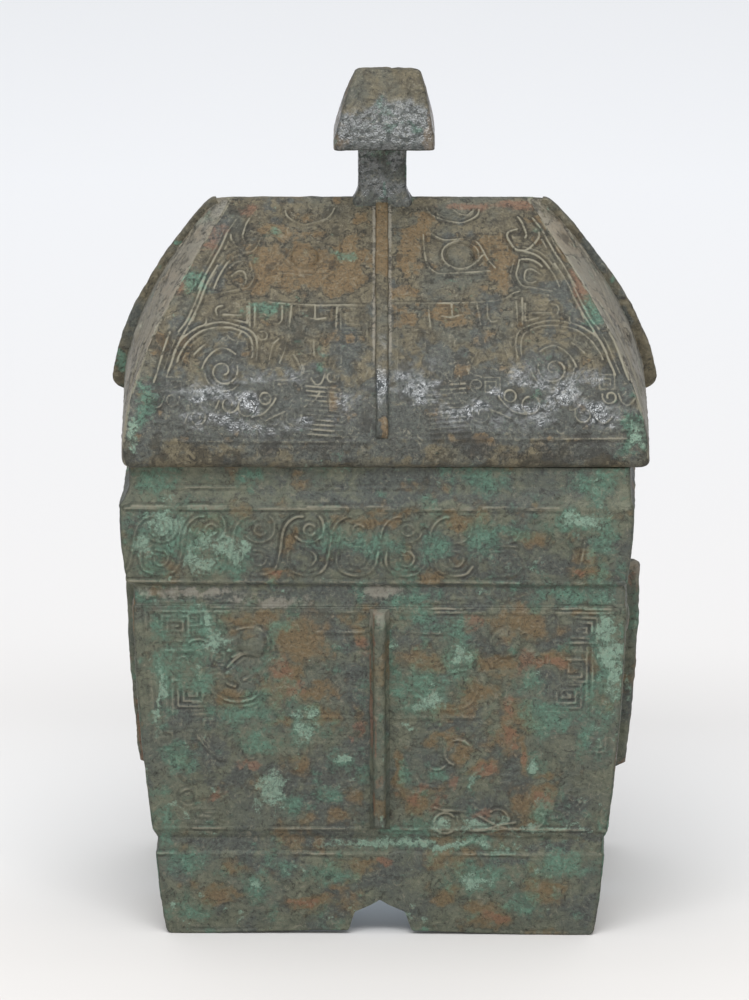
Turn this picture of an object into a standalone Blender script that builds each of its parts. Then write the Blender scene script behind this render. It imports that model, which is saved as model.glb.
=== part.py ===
"""Bronze fangyi: a rectangular ritual wine vessel with a hipped lid that lifts off.

Two castings, each one solid: vessel_body (foot, walls, floor and the four flanges of its main
register) and lid (roof, flanges, post and roof-shaped knob).  The script works in millimetres
and scales the finished meshes to metres.  X is the long side, -Y the front, +Z up, and the
origin lies on the standing plane under the middle of the lid.
"""

import math

import bmesh
import bpy
from mathutils import Matrix, Vector

MM = 0.001
MERGE = 0.00001

# ---- Driving dimensions, in millimetres -------------------------------------------------------
NARROWER = 16.0         # every plan is this much less in half depth than in half width
WALL = 4.0              # thickness of the cast walls
SEAT_GAP = 0.3          # air between the vessel's lip and the lid that rests on it
CORNER = 1.4            # rounding of the upright corners

FOOT_TOP = 28.0
STRIP_TOP = 33.5        # plain strip between the foot and the main register
MAIN_TOP = 112.0
BAND_BOTTOM = 119.5
BAND_TOP = 146.3
LIP = 158.6             # top of the vessel's mouth

FOOT_HALF = (69.2, 72.2)        # half width of the foot, bottom and top
MAIN_HALF = (73.2, 79.0)
BAND_HALF = (79.8, 82.2)
NECK_HALF = 80.0
STEP = 0.5                      # the plain strips lie this far behind the registers
MAIN_TUCK = (2.4, 1.1)          # the main register draws in at its foot: height, amount
MAIN_BULGE = 1.0
BAND_BULGE = 0.6
FOOT_BULGE = 0.3
LEDGE = 5.6                     # height of the hollow slope between the band and the neck
FLOOR = (33.0, 37.0)            # underside and top of the vessel's floor
BODY_SHIFT = -0.9               # the vessel stands this far to the left of the lid's middle
BAND_SHIFT = -0.9               # the band lies this much further left, because the casting is uneven

NOTCH_HALF = 10.0               # arched notch in each side of the foot: half width at the ground
NOTCH_SHOULDER = (8.0, 7.2)     # half width and height where the arch begins
NOTCH_APEX = 11.8

FLANGE = 4.1                    # thickness of the flanges
FLANGE_OUT = (5.2, 4.6)         # how far they stand off the wall, bottom and top
FLANGE_ROOT = 2.2               # how far they reach into the wall
MAIN_FLANGE = (36.5, 111.4)
LEFT_FLANGE_FOOT = 44.0         # the left flange has lost its lower end

RIM_HALF = 84.0                 # half width of the lid above its rounded rim
RIM_ROUND = 3.0
RIDGE_HALF = 47.0
RIDGE_BLUNT = 2.0               # half depth of the blunt ridge
RIDGE_Z = 231.4
RIDGE_SHIFT = -2.0              # the ridge leans to the left
SPREAD_X = 0.93                 # how the roof spreads along X and along Y: below 1 is rounder
SPREAD_Y = 1.07
END_SWELL = 5.7                 # the middle of each end stands out this much at the ridge, 0 at the rim
ROOF_STEPS = 13
END_STEPS = 6
LID_YAW = 1.0                   # degrees the lid sits askew on the vessel
LID_FLANGE_SPAN = (0.0, 0.9)    # stretch of the roof that the flanges run down
LID_FLANGE_OUT = (1.6, 4.3)     # how far these flanges stand off the roof, top and bottom
LID_FRONT_FLANGE = -1.2         # X of the front and back flanges

RIM_PLATE = 4.0                 # thickness of the flat seat inside the rim
TONGUE_HALF = (72.4, 56.4)      # outside of the tongue that drops into the mouth
TONGUE_WALL = 3.0
TONGUE_DEPTH = 9.4

POST_HALF = (7.8, 3.4)
POST_FLARE = (2.6, 0.8)
POST_FOOT = 4.6                 # how far the post reaches down into the ridge
KNOB_BOTTOM = 249.9
KNOB_TOP = 274.3
KNOB_HALF = (16.2, 12.8)
KNOB_RIDGE = (10.2, 2.4)
KNOB_RIM = 2.4
KNOB_SPREAD = 1.3               # how the knob's sides spread: above 1 is rounder
KNOB_ROUND = 1.6                # rounding of the knob's top edge
KNOB_SHIFT = (-0.5, 0.7)        # the knob leans a little to the right: bottom and top
POST_SHIFT = -1.1

LID_EYES = (25.0, 0.2, 4.6)     # distance from the flange, place on the roof, radius
MAIN_EYES = (40.5, 99.5, 4.8)   # distance from the flange, height, radius
END_EYES = (30.0, 99.5, 4.8)
EYE_FLATNESS = 0.34


# ---- Profiles ---------------------------------------------------------------------------------
def mix(a, b, s):
    return a + (b - a) * s


def register(bottom, top, halves, bulge, steps):
    """Levels (height, half width) of one register, slightly swollen between its edges."""
    levels = []
    for i in range(steps + 1):
        s = i / steps
        levels.append((mix(bottom, top, s), mix(halves[0], halves[1], s) + bulge * math.sin(math.pi * s)))
    return levels


def body_profile():
    """Outer profile of the vessel, from the ground to the lip."""
    tuck_height, tuck = MAIN_TUCK
    profile = register(0.0, FOOT_TOP, FOOT_HALF, FOOT_BULGE, 3)
    profile += [(FOOT_TOP + 0.2, FOOT_HALF[1] - STEP), (STRIP_TOP - 0.2, FOOT_HALF[1] - STEP)]
    profile += [(STRIP_TOP, MAIN_HALF[0] - tuck)]
    profile += register(STRIP_TOP + tuck_height, MAIN_TOP, MAIN_HALF, MAIN_BULGE, 5)
    profile += [(MAIN_TOP + 0.2, MAIN_HALF[1] - STEP), (BAND_BOTTOM - 0.2, MAIN_HALF[1] - STEP)]
    profile += register(BAND_BOTTOM, BAND_TOP, BAND_HALF, BAND_BULGE, 3)
    shoulder = mix(BAND_HALF[1], NECK_HALF, 0.45)
    profile += [(BAND_TOP + 1.2, shoulder), (BAND_TOP + LEDGE, NECK_HALF), (LIP, NECK_HALF)]
    return profile


def half_width_at(height):
    """Half width of the vessel's outside at a height."""
    profile = body_profile()
    for (low, half_low), (high, half_high) in zip(profile, profile[1:]):
        if low <= height <= high:
            return mix(half_low, half_high, (height - low) / (high - low))
    return profile[-1][1]


def roof(t, inset=0.0):
    """Half width, half depth and height of the lid's roof: t is 0 at the ridge, 1 at the rim."""
    swell = math.sin(math.pi / 2 * t)
    half_x = mix(RIDGE_HALF, RIM_HALF, swell ** SPREAD_X) - inset
    half_y = mix(RIDGE_BLUNT, RIM_HALF - NARROWER, swell ** SPREAD_Y) - inset
    rim_top = LIP + SEAT_GAP + RIM_ROUND
    return half_x, half_y, mix(RIDGE_Z, rim_top, t)


def roof_stations():
    """Places down the roof, closer together near the ridge where it curves most."""
    return [(i / ROOF_STEPS) ** 1.6 for i in range(ROOF_STEPS + 1)]


def roof_lean(t):
    return RIDGE_SHIFT * (1.0 - t)


def end_swell(t):
    """How far the middle of an end stands out beyond its hips."""
    return END_SWELL * (1.0 - t)


# ---- Modelling helpers ------------------------------------------------------------------------
def collection(name):
    group = bpy.data.collections.new(name)
    bpy.context.scene.collection.children.link(group)
    return group


def to_object(bm, name, group):
    """Scale a millimetre bmesh to metres and make it an object."""
    bmesh.ops.scale(bm, vec=(MM, MM, MM), verts=bm.verts)
    bmesh.ops.recalc_face_normals(bm, faces=bm.faces)
    mesh = bpy.data.meshes.new(name)
    bm.to_mesh(mesh)
    bm.free()
    item = bpy.data.objects.new(name, mesh)
    group.objects.link(item)
    return item


def stack(name, levels, corner, group):
    """A closed solid through a pile of round-cornered rectangles, lowest first.

    Each level is (height, half_x, half_y, middle_x).  The first rectangle is extruded from
    level to level, and each of its quadrants moves out or in with the level's half sizes.
    """
    height, half_x, half_y, middle = levels[0]
    bm = bmesh.new()
    bmesh.ops.create_grid(bm, x_segments=1, y_segments=1, size=1.0)
    for vert in bm.verts:
        vert.co = (vert.co.x * half_x, vert.co.y * half_y, height)
    bmesh.ops.bevel(bm, geom=bm.verts[:], offset=corner, segments=3, profile=0.5, affect="VERTICES")
    bmesh.ops.translate(bm, vec=(middle, 0.0, 0.0), verts=bm.verts)
    bm.faces.ensure_lookup_table()
    face = bm.faces[0]
    for number, level in enumerate(levels[1:]):
        grown = bmesh.ops.extrude_face_region(bm, geom=[face])["geom"]
        if number > 0:
            bmesh.ops.delete(bm, geom=[face], context="FACES_ONLY")
        face = next(item for item in grown if isinstance(item, bmesh.types.BMFace))
        for vert in face.verts:
            side_x = math.copysign(1.0, vert.co.x - middle)
            side_y = math.copysign(1.0, vert.co.y)
            vert.co.x += side_x * (level[1] - half_x) + level[3] - middle
            vert.co.y += side_y * (level[2] - half_y)
            vert.co.z = level[0]
        height, half_x, half_y, middle = level
    return to_object(bm, name, group)


def swollen_ring(level):
    """Places round one level of the roof: round corners, and ends that stand out in the middle."""
    height, half_x, half_y, middle, swell = level
    outline = []
    for i in range(4):
        turn = math.radians(30.0 * i)
        outline.append((half_x - CORNER * (1.0 - math.sin(turn)), CORNER * (1.0 - math.cos(turn)) - half_y))
    flat = half_y - CORNER
    for i in range(1, END_STEPS):
        outline.append((half_x, mix(-flat, flat, i / END_STEPS)))
    outline += [(x, -y) for x, y in outline[3::-1]]
    outline = [(x + swell * (1.0 - (y / half_y) ** 2), y) for x, y in outline]
    outline += [(-x, y) for x, y in reversed(outline)]
    return [(middle + x, y, height) for x, y in outline]


def swollen_stack(name, levels, group):
    """A closed solid through a pile of swollen rings, lowest first."""
    bm = bmesh.new()
    rings = [[bm.verts.new(place) for place in swollen_ring(level)] for level in levels]
    for low, high in zip(rings, rings[1:]):
        for i in range(len(low)):
            after = (i + 1) % len(low)
            bm.faces.new((low[i], low[after], high[after], high[i]))
    bm.faces.new(rings[0])
    bm.faces.new(rings[-1])
    return to_object(bm, name, group)


def plate(name, outline, thickness, placement, group):
    """A flat outline extruded to a plate and moved into place, as a mesh with welded caps."""
    curve = bpy.data.curves.new(name, "CURVE")
    curve.dimensions = "2D"
    curve.fill_mode = "BOTH"
    curve.extrude = thickness / 2 * MM
    spline = curve.splines.new("POLY")
    spline.points.add(len(outline) - 1)
    for point, (u, v) in zip(spline.points, outline):
        point.co = (u * MM, v * MM, 0.0, 1.0)
    spline.use_cyclic_u = True
    guide = bpy.data.objects.new(name + "_curve", curve)
    bpy.context.scene.collection.objects.link(guide)
    bpy.context.view_layer.update()
    evaluated = guide.evaluated_get(bpy.context.evaluated_depsgraph_get())
    mesh = bpy.data.meshes.new_from_object(evaluated)
    bpy.data.objects.remove(guide)
    bm = bmesh.new()
    bm.from_mesh(mesh)
    bmesh.ops.remove_doubles(bm, verts=bm.verts, dist=MERGE)
    bmesh.ops.transform(bm, matrix=placement, verts=bm.verts)
    bmesh.ops.recalc_face_normals(bm, faces=bm.faces)
    bm.to_mesh(mesh)
    bm.free()
    item = bpy.data.objects.new(name, mesh)
    group.objects.link(item)
    return item


def button(name, radius, centre, normal, group):
    """A flattened ball set on a surface, for the round pupil of an eye."""
    bm = bmesh.new()
    bmesh.ops.create_uvsphere(bm, u_segments=16, v_segments=8, radius=radius)
    bmesh.ops.scale(bm, vec=(1.0, 1.0, EYE_FLATNESS), verts=bm.verts)
    turn = Vector((0.0, 0.0, 1.0)).rotation_difference(Vector(normal)).to_matrix().to_4x4()
    bmesh.ops.transform(bm, matrix=Matrix.Translation(centre) @ turn, verts=bm.verts)
    return to_object(bm, name, group)


def combine(target, tool, operation):
    """Join a tool shape to the target, or cut it away."""
    step = target.modifiers.new(operation.lower() + "_" + tool.name, "BOOLEAN")
    step.operation = operation
    step.solver = "EXACT"
    step.object = tool
    tool.hide_render = True
    tool.display_type = "WIRE"


def bronze(name, colour, roughness):
    material = bpy.data.materials.new(name)
    material.use_nodes = True
    shader = material.node_tree.nodes["Principled BSDF"]
    shader.inputs["Base Color"].default_value = (*colour, 1.0)
    shader.inputs["Metallic"].default_value = 0.6
    shader.inputs["Roughness"].default_value = roughness
    return material


def upright(x, y, turn):
    """Placement of an outline drawn as (outward, up) that faces away from the middle at turn degrees."""
    spin = Matrix.Rotation(math.radians(turn), 4, "Z")
    stand = Matrix.Rotation(math.radians(90.0), 4, "X")
    return Matrix.Translation((x * MM, y * MM, 0.0)) @ spin @ stand


# ---- The vessel -------------------------------------------------------------------------------
def middle_at(height):
    """X of the vessel's middle at a height: the band lies a little aside."""
    in_band = BAND_BOTTOM <= height <= BAND_TOP
    return BODY_SHIFT + (BAND_SHIFT if in_band else 0.0)


def with_plan(profile, inset=0.0):
    """Turn (height, half width) pairs into stack levels, drawn in by an inset."""
    return [(z, half - inset, half - NARROWER - inset, middle_at(z)) for z, half in profile]


def notch_outline():
    """Half of an arch on each side of its apex, with steep shoulders down to the ground."""
    half, rise = NOTCH_SHOULDER
    right = [(NOTCH_HALF + 1.4, -2.0), (NOTCH_HALF, 0.6), (half, rise), (half * 0.36, mix(rise, NOTCH_APEX, 0.58))]
    left = [(-u, v) for u, v in reversed(right)]
    return right + [(0.0, NOTCH_APEX)] + left


def wall_flange_outline(bottom, top, reach, lost_end):
    """Outline (outward, up) of a flange on the main register; lost_end lists its broken lower edge."""
    steps = 6
    heights = [mix(bottom, top, i / steps) for i in range(steps + 1)]
    stand = [mix(*FLANGE_OUT, i / steps) for i in range(steps + 1)]
    outer = [(half_width_at(z) - reach + out, z) for z, out in zip(heights, stand)]
    inner = [(half_width_at(z) - reach - FLANGE_ROOT, z) for z in heights]
    outer[-1] = (outer[-1][0] - 1.8, top)
    outer.insert(-1, (outer[-2][0] + 0.3, top - 2.4))
    broken = [(half_width_at(bottom) - reach + out, bottom + up) for out, up in lost_end]
    return broken + outer[1:] + inner[::-1]


def make_body(parts, cutters):
    body = stack("vessel_body", with_plan(body_profile()), CORNER, parts)

    full = FLANGE_OUT[0]
    whole_end = [(0.6, 0.0), (full - 0.5, 0.4), (full, 1.6)]
    left_end = [(0.3, -3.6), (1.4, -0.4), (3.2, 2.6), (full, 5.2)]
    right_end = [(0.2, -3.4), (2.3, -0.4), (3.6, 1.4), (3.4, 3.6), (4.6, 4.4), (full, 5.6)]
    ends = (
        ("front", -90.0, MAIN_FLANGE[0], NARROWER, whole_end),
        ("back", 90.0, MAIN_FLANGE[0], NARROWER, whole_end),
        ("right", 0.0, LEFT_FLANGE_FOOT, 0.0, right_end),
        ("left", 180.0, LEFT_FLANGE_FOOT, 0.0, left_end),
    )
    for side, turn, foot, reach, lost_end in ends:
        outline = wall_flange_outline(foot, MAIN_FLANGE[1], reach, lost_end)
        flange = plate("main_flange_" + side, outline, FLANGE, upright(BODY_SHIFT, 0.0, turn), cutters)
        combine(body, flange, "UNION")

    aside, height, radius = MAIN_EYES
    for side in (-1, 1):
        for hand in (-1, 1):
            spot = (BODY_SHIFT + hand * aside, side * (half_width_at(height) - NARROWER), height)
            eye = button(f"main_eye_{side}_{hand}", radius, spot, (0.0, side, 0.0), cutters)
            combine(body, eye, "UNION")
    aside, height, radius = END_EYES
    for side in (-1, 1):
        for hand in (-1, 1):
            spot = (BODY_SHIFT + side * half_width_at(height), hand * aside, height)
            eye = button(f"end_eye_{side}_{hand}", radius, spot, (side, 0.0, 0.0), cutters)
            combine(body, eye, "UNION")

    inner = [(z, half) for z, half in body_profile() if z > FLOOR[1] + 3.0]
    floor_round = [(FLOOR[1], MAIN_HALF[0] - 3.0), (FLOOR[1] + 1.0, MAIN_HALF[0] - 1.0)]
    cavity = with_plan(floor_round + inner, WALL)
    cavity = [level for level in cavity if level[0] < BAND_TOP - 2.0]
    neck = NECK_HALF - WALL
    cavity += [(z, neck, neck - NARROWER, BODY_SHIFT) for z in (BAND_TOP, LIP + 5.0)]
    combine(body, stack("cavity", cavity, CORNER + 1.0, cutters), "DIFFERENCE")

    foot_inside = with_plan([(-5.0, FOOT_HALF[0]), (FLOOR[0] - 2.0, FOOT_HALF[1]), (FLOOR[0], FOOT_HALF[1] - 2.0)], WALL)
    combine(body, stack("foot_hollow", foot_inside, CORNER + 1.0, cutters), "DIFFERENCE")

    through = 2.4 * FOOT_HALF[1]
    for name, turn in (("notch_front_back", 0.0), ("notch_ends", 90.0)):
        notch = plate(name, notch_outline(), through, upright(BODY_SHIFT, 0.0, turn), cutters)
        combine(body, notch, "DIFFERENCE")

    body.data.materials.append(bronze("patinated_bronze_body", (0.16, 0.17, 0.13), 0.62))
    return body


# ---- The lid ----------------------------------------------------------------------------------
def roof_levels():
    """Stack levels of the lid's outside: the rounded rim first, then the roof up to its ridge."""
    levels = []
    for i in range(4):
        angle = math.radians(30.0 * i)
        half = RIM_HALF - RIM_ROUND * (1.0 - math.sin(angle))
        height = LIP + SEAT_GAP + RIM_ROUND * (1.0 - math.cos(angle))
        levels.append((height, half, half - NARROWER, 0.0, 0.0))
    for t in reversed(roof_stations()[:-1]):
        half_x, half_y, height = roof(t)
        levels.append((height, half_x, half_y, roof_lean(t), end_swell(t)))
    return levels


def roof_inside():
    """Stack levels of the hollow under the roof, above the flat seat."""
    plate_top = LIP + SEAT_GAP + RIM_PLATE
    levels = [(plate_top, RIM_HALF - WALL, RIM_HALF - NARROWER - WALL, 0.0, 0.0)]
    for t in reversed(roof_stations()[2:-1]):
        half_x, half_y, height = roof(t, WALL)
        height -= WALL * (1.0 - t)
        if height > plate_top + 2.0 and half_y > 2.0 * CORNER:
            levels.append((height, half_x, half_y, roof_lean(t), end_swell(t)))
    return levels


def lid_flange_outline(along_x, offset):
    """Outline (outward, up) of a flange down the roof, with a rounded lower end."""
    start, end = LID_FLANGE_SPAN
    steps = 12
    stations = [mix(start, end, (i / steps) ** 1.3) for i in range(steps + 1)]
    points = []
    for t in stations:
        half_x, half_y, height = roof(t)
        points.append((half_x + end_swell(t) + offset * roof_lean(t) if along_x else half_y, height))
    outer = []
    inner = []
    for i, (u, v) in enumerate(points):
        before = points[max(i - 1, 0)]
        after = points[min(i + 1, steps)]
        run = Vector((after[0] - before[0], after[1] - before[1])).normalized()
        out = mix(*LID_FLANGE_OUT, (i / steps) ** 2) * (0.6 if i == steps else 1.0)
        outer.append((u - run.y * out, min(v + run.x * out, RIDGE_Z + 0.6)))
        inner.append((u + run.y * FLANGE_ROOT, v - run.x * FLANGE_ROOT))
    return outer + inner[::-1]


def make_post(cutters):
    """Stem between the ridge and the knob, flared at both ends."""
    half_x, half_y = POST_HALF
    flare_x, flare_y = POST_FLARE
    levels = [(RIDGE_Z - POST_FOOT, half_x + flare_x, half_y + flare_y, POST_SHIFT)]
    for i in range(9):
        s = i / 8
        low = max(0.0, 1.0 - 4.0 * s) ** 2
        high = 0.6 * max(0.0, 4.0 * s - 3.0) ** 2
        height = mix(RIDGE_Z, KNOB_BOTTOM + 1.0, s)
        levels.append((height, half_x + flare_x * low + high, half_y + flare_y * low + high, POST_SHIFT))
    return stack("post", levels, 1.6, cutters)


def make_knob(cutters):
    """Roof-shaped knob, a small echo of the lid."""
    half_x, half_y = KNOB_HALF
    levels = [(KNOB_BOTTOM, half_x - 0.7, half_y - 0.7, KNOB_SHIFT[0])]
    levels.append((KNOB_BOTTOM + 0.7, half_x, half_y, KNOB_SHIFT[0]))
    for s in (0.0, 0.14, 0.28, 0.42, 0.56, 0.7, 0.84, 0.94, 0.975, 1.0):
        swell = 1.0 - s ** KNOB_SPREAD
        height = mix(KNOB_BOTTOM + KNOB_RIM, KNOB_TOP, s)
        over = max(0.0, 1.0 - (KNOB_TOP - height) / KNOB_ROUND)
        rounding = KNOB_ROUND * (1.0 - math.sqrt(1.0 - over * over))
        wide = mix(KNOB_RIDGE[0], half_x, swell) - rounding
        deep = mix(KNOB_RIDGE[1], half_y, swell) - 0.5 * rounding
        levels.append((height, wide, deep, mix(KNOB_SHIFT[0], KNOB_SHIFT[1], s)))
    return stack("knob", levels, 1.4, cutters)


def make_lid(parts, cutters):
    lid = swollen_stack("lid", roof_levels(), parts)
    combine(lid, make_post(cutters), "UNION")
    combine(lid, make_knob(cutters), "UNION")

    for side, turn, along_x, lean, x in (
        ("right", 0.0, True, 1.0, 0.0),
        ("left", 180.0, True, -1.0, 0.0),
        ("front", -90.0, False, 0.0, LID_FRONT_FLANGE),
        ("back", 90.0, False, 0.0, LID_FRONT_FLANGE),
    ):
        outline = lid_flange_outline(along_x, lean)
        combine(lid, plate("lid_flange_" + side, outline, FLANGE, upright(x, 0.0, turn), cutters), "UNION")

    aside, t, radius = LID_EYES
    half_x, half_y, height = roof(t)
    below = roof(t + 0.02)
    run = Vector((0.0, below[1] - half_y, below[2] - height)).normalized()
    for side in (-1, 1):
        normal = (0.0, side * -run.z, run.y)
        for hand in (-1, 1):
            spot = (LID_FRONT_FLANGE + hand * aside, side * half_y, height)
            combine(lid, button(f"lid_eye_{side}_{hand}", radius, spot, normal, cutters), "UNION")

    tongue_x, tongue_y = TONGUE_HALF
    seat = LIP + SEAT_GAP
    tongue = [(seat - TONGUE_DEPTH, tongue_x, tongue_y, 0.0), (seat + 2.0, tongue_x, tongue_y, 0.0)]
    combine(lid, stack("tongue", tongue, 2.4, cutters), "UNION")
    combine(lid, swollen_stack("roof_hollow", roof_inside(), cutters), "DIFFERENCE")
    throat_x = tongue_x - TONGUE_WALL
    throat_y = tongue_y - TONGUE_WALL
    throat = [(seat - TONGUE_DEPTH - 3.0, throat_x, throat_y, 0.0), (seat + RIM_PLATE + 1.5, throat_x, throat_y, 0.0)]
    combine(lid, stack("throat", throat, 2.0, cutters), "DIFFERENCE")

    lid.data.materials.append(bronze("patinated_bronze_lid", (0.17, 0.15, 0.11), 0.58))
    return lid


def main():
    for item in list(bpy.data.objects):
        bpy.data.objects.remove(item, do_unlink=True)
    parts = collection("bronze_fangyi_vessel")
    cutters = collection("fangyi_cutters")
    make_body(parts, cutters)
    lid = make_lid(parts, cutters)

    askew = bpy.data.objects.new("lid_seat", None)
    parts.objects.link(askew)
    askew.rotation_euler.z = math.radians(LID_YAW)
    lid.parent = askew
    for step in lid.modifiers:
        step.object.parent = askew


main()
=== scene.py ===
"""Looks of a bronze fangyi, a rectangular ritual wine vessel with a hipped lid.

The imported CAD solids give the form.  Here each casting is rebuilt as a core (the inside, the
floor, the seat of the lid) under finely gridded walls that carry the cast ornament, the wear and
the corrosion.  Lengths are in millimetres until a mesh is made.  X runs along the long side, -Y is
the front and +Z is up.
"""

import math

import bpy
import numpy as np
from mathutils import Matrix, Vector


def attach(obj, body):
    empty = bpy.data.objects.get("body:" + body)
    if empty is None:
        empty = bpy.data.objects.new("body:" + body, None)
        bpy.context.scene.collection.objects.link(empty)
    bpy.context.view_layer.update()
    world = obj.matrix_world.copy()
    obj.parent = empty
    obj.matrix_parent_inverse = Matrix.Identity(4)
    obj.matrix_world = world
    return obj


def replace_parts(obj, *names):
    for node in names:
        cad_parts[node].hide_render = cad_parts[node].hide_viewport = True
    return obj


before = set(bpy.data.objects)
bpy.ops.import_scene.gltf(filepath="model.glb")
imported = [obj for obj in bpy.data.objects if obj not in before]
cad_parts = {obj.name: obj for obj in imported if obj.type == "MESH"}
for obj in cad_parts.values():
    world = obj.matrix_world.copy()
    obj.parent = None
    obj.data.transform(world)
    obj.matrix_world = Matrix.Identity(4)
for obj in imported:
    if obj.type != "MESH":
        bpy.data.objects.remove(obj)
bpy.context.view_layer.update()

MM = 0.001
LONG_SIDES = ("front", "back")
TURNS = {"front": -90.0, "back": 90.0, "right": 0.0, "left": 180.0}     # where each side faces

# ---- Driving dimensions, as in the CAD source -----------------------------------------------------
NARROWER = 16.0         # every plan is this much less in half depth than in half width
WALL = 4.0              # thickness of the cast walls
CORNER = 1.4            # radius of the upright corners
FOOT_TOP = 28.0         # heights of the registers, from the ground up
STRIP_TOP = 33.5
MAIN_TOP = 112.0
BAND_BOTTOM = 119.5
BAND_TOP = 146.3
LIP = 158.6
SEAT_GAP = 0.3          # air between the lip and the lid that rests on it
FOOT_HALF = (69.2, 72.2)  # half widths at the bottom and the top of each register
MAIN_HALF = (73.2, 79.0)
BAND_HALF = (79.8, 82.2)
NECK_HALF = 80.0
STEP = 0.5              # how far the plain strips lie behind the registers beside them
MAIN_TUCK = (2.4, 1.1)  # height and depth of the slope under the main register
MAIN_BULGE = 1.0        # how far each register swells between its edges
BAND_BULGE = 0.6
FOOT_BULGE = 0.3
LEDGE = 5.6             # height of the hollow slope between the band and the neck
FLOOR = (33.0, 37.0)    # underside and top of the vessel's floor
BODY_SHIFT = -0.9       # x of the middle of the vessel, and how much further the band lies
BAND_SHIFT = -0.9
NOTCH_HALF = 10.0       # half width, shoulder and apex of the notches in the foot
NOTCH_SHOULDER = (8.0, 7.2)
NOTCH_APEX = 11.8
FLANGE = 4.1            # thickness of the flanges
FLANGE_OUT = (5.2, 4.6)  # how far they stand off the wall, below and above
FLANGE_ROOT = 2.2       # how deep they reach into the wall
MAIN_FLANGE = (36.5, 111.4)  # lower and upper end
SIDE_FLANGE_FOOT = 44.0  # both side flanges have lost their lower ends
RIM_HALF = 84.0         # the lid's rim, half its width
RIM_ROUND = 3.0
RIDGE_HALF = 47.0       # the lid's ridge, half its length
RIDGE_BLUNT = 2.0
RIDGE_Z = 231.4
RIDGE_SHIFT = -2.0
SPREAD_X = 0.93         # powers that shape the curve of the slopes
SPREAD_Y = 1.07
END_SWELL = 5.7         # how far the short slopes stand out beyond their hips at the ridge
LID_YAW = 1.0           # degrees by which the lid sits askew
LID_FLANGE_SPAN = (0.0, 0.9)  # the flanges' share of the way down the roof
LID_FLANGE_OUT = (1.6, 4.3)  # how far they stand off the roof, above and below
LID_FRONT_FLANGE = -1.2  # x of the flanges on the long slopes
RIM_PLATE = 4.0         # thickness of the flat seat inside the rim
TONGUE_HALF = (72.4, 56.4)
TONGUE_WALL = 3.0
TONGUE_DEPTH = 9.4
POST_HALF = (7.8, 3.4)
POST_FOOT = 4.6         # how deep the post reaches into the ridge
POST_SHIFT = -1.1
KNOB_BOTTOM = 249.9
KNOB_TOP = 274.3
KNOB_HALF = (16.2, 12.8)
KNOB_RIDGE = (10.2, 2.4)
KNOB_RIM = 2.4          # height of the upright rim under its roof
KNOB_SPREAD = 1.3
KNOB_ROUND = 1.6
KNOB_SHIFT = (-0.5, 0.7)  # x of its middle, below and above

# ---- Where the visual model leaves the CAD source -------------------------------------------------
SUNK_END = 1.6          # how far the left end has sunk in under the lid
LID_FRONT_OUT = (1.4, 2.6)  # the flanges on the long slopes are worn lower than LID_FLANGE_OUT
POST_FLARE = (1.8, 0.8)  # how far the post's foot spreads in width and depth
FOOT_ROUND = 2.4        # radius worn off the lower corners of the foot
FOOT_RISE = 1.2         # how far the foot's edge rises towards the front notch
FLANGE_FILLET = 1.3     # how far a flange of the vessel spreads at its root
FLANGE_FILLET_HIGH = 2.2
RAGGED_END = 3.0        # how far the broken flanges trail below SIDE_FLANGE_FOOT
KNOB_NOTCH_X = 2.6      # where the knob's ridge is nicked

# ---- How finely things are made -----------------------------------------------------------------
SKIN = 1.5              # thickness of a gridded wall, which overlaps the core behind it
CORE_INSET = 1.0        # the core lies this far inside the finished surface
SPLIT_Z = 112.0         # the body's front is made in two walls, joined at this height
CELL = {"front": 0.45, "neck": 0.42, "ends": 0.78, "back": 0.9}
LID_CELL = {"front": 0.46, "ends": 0.74, "back": 0.88}
LINE = 0.6              # half width of a raised line of the ornament
BODY_RELIEF = (0.44, 0.28, 0.2)         # how far lines stand, how deep the hollows are, least left
LID_RELIEF = (0.46, 0.3, 0.62)
MAIN_EYE = (40.5, 99.8, 4.9, 1.4)       # across, height, radius and how far it stands out
END_EYE = (30.0, 99.8, 4.9, 1.4)
BODY_SEED = 100
LID_SEED = 700


# ---- Small mathematics --------------------------------------------------------------------------
def mix(a, b, s):
    return a + (b - a) * s


def smoothstep(low, high, x):
    s = np.clip((x - low) / (high - low), 0.0, 1.0)
    return s * s * (3.0 - 2.0 * s)


def unit(vectors):
    return vectors / np.maximum(np.linalg.norm(vectors, axis=-1, keepdims=True), 1e-9)


def lattice(ix, iy, iz, seed):
    """A repeatable random number from 0 to 1 for each lattice point."""
    n = (ix * 73856093) ^ (iy * 19349663) ^ (iz * 83492791) ^ (seed * 40503 + 977)
    n = ((n ^ (n >> 13)) * 1274126177) & 0xFFFFFFFF
    n = ((n ^ (n >> 15)) * 668265263) & 0xFFFFFFFF
    return ((n ^ (n >> 16)) & 0xFFFF) / 65535.0


def value_noise(places, size, seed):
    """Smooth noise from 0 to 1 whose lumps are about size millimetres across."""
    grid = places / size
    cell = np.floor(grid).astype(np.int64)
    f = grid - cell
    f = f * f * (3.0 - 2.0 * f)
    total = 0.0
    for dx in (0, 1):
        wx = f[..., 0] if dx else 1.0 - f[..., 0]
        for dy in (0, 1):
            wy = f[..., 1] if dy else 1.0 - f[..., 1]
            for dz in (0, 1):
                wz = f[..., 2] if dz else 1.0 - f[..., 2]
                corner = lattice(cell[..., 0] + dx, cell[..., 1] + dy, cell[..., 2] + dz, seed)
                total = total + wx * wy * wz * corner
    return total


def cloud(places, size, seed, octaves=4, fade=0.5):
    """Several layers of noise, centred on 0 and within about -0.5 to 0.5."""
    total = 0.0
    weight = 1.0
    reach = 0.0
    for octave in range(octaves):
        noise = value_noise(places + 31.7 * octave, size / 2 ** octave, seed + octave)
        total = total + weight * (noise - 0.5)
        reach += weight
        weight *= fade
    return total / reach


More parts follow.
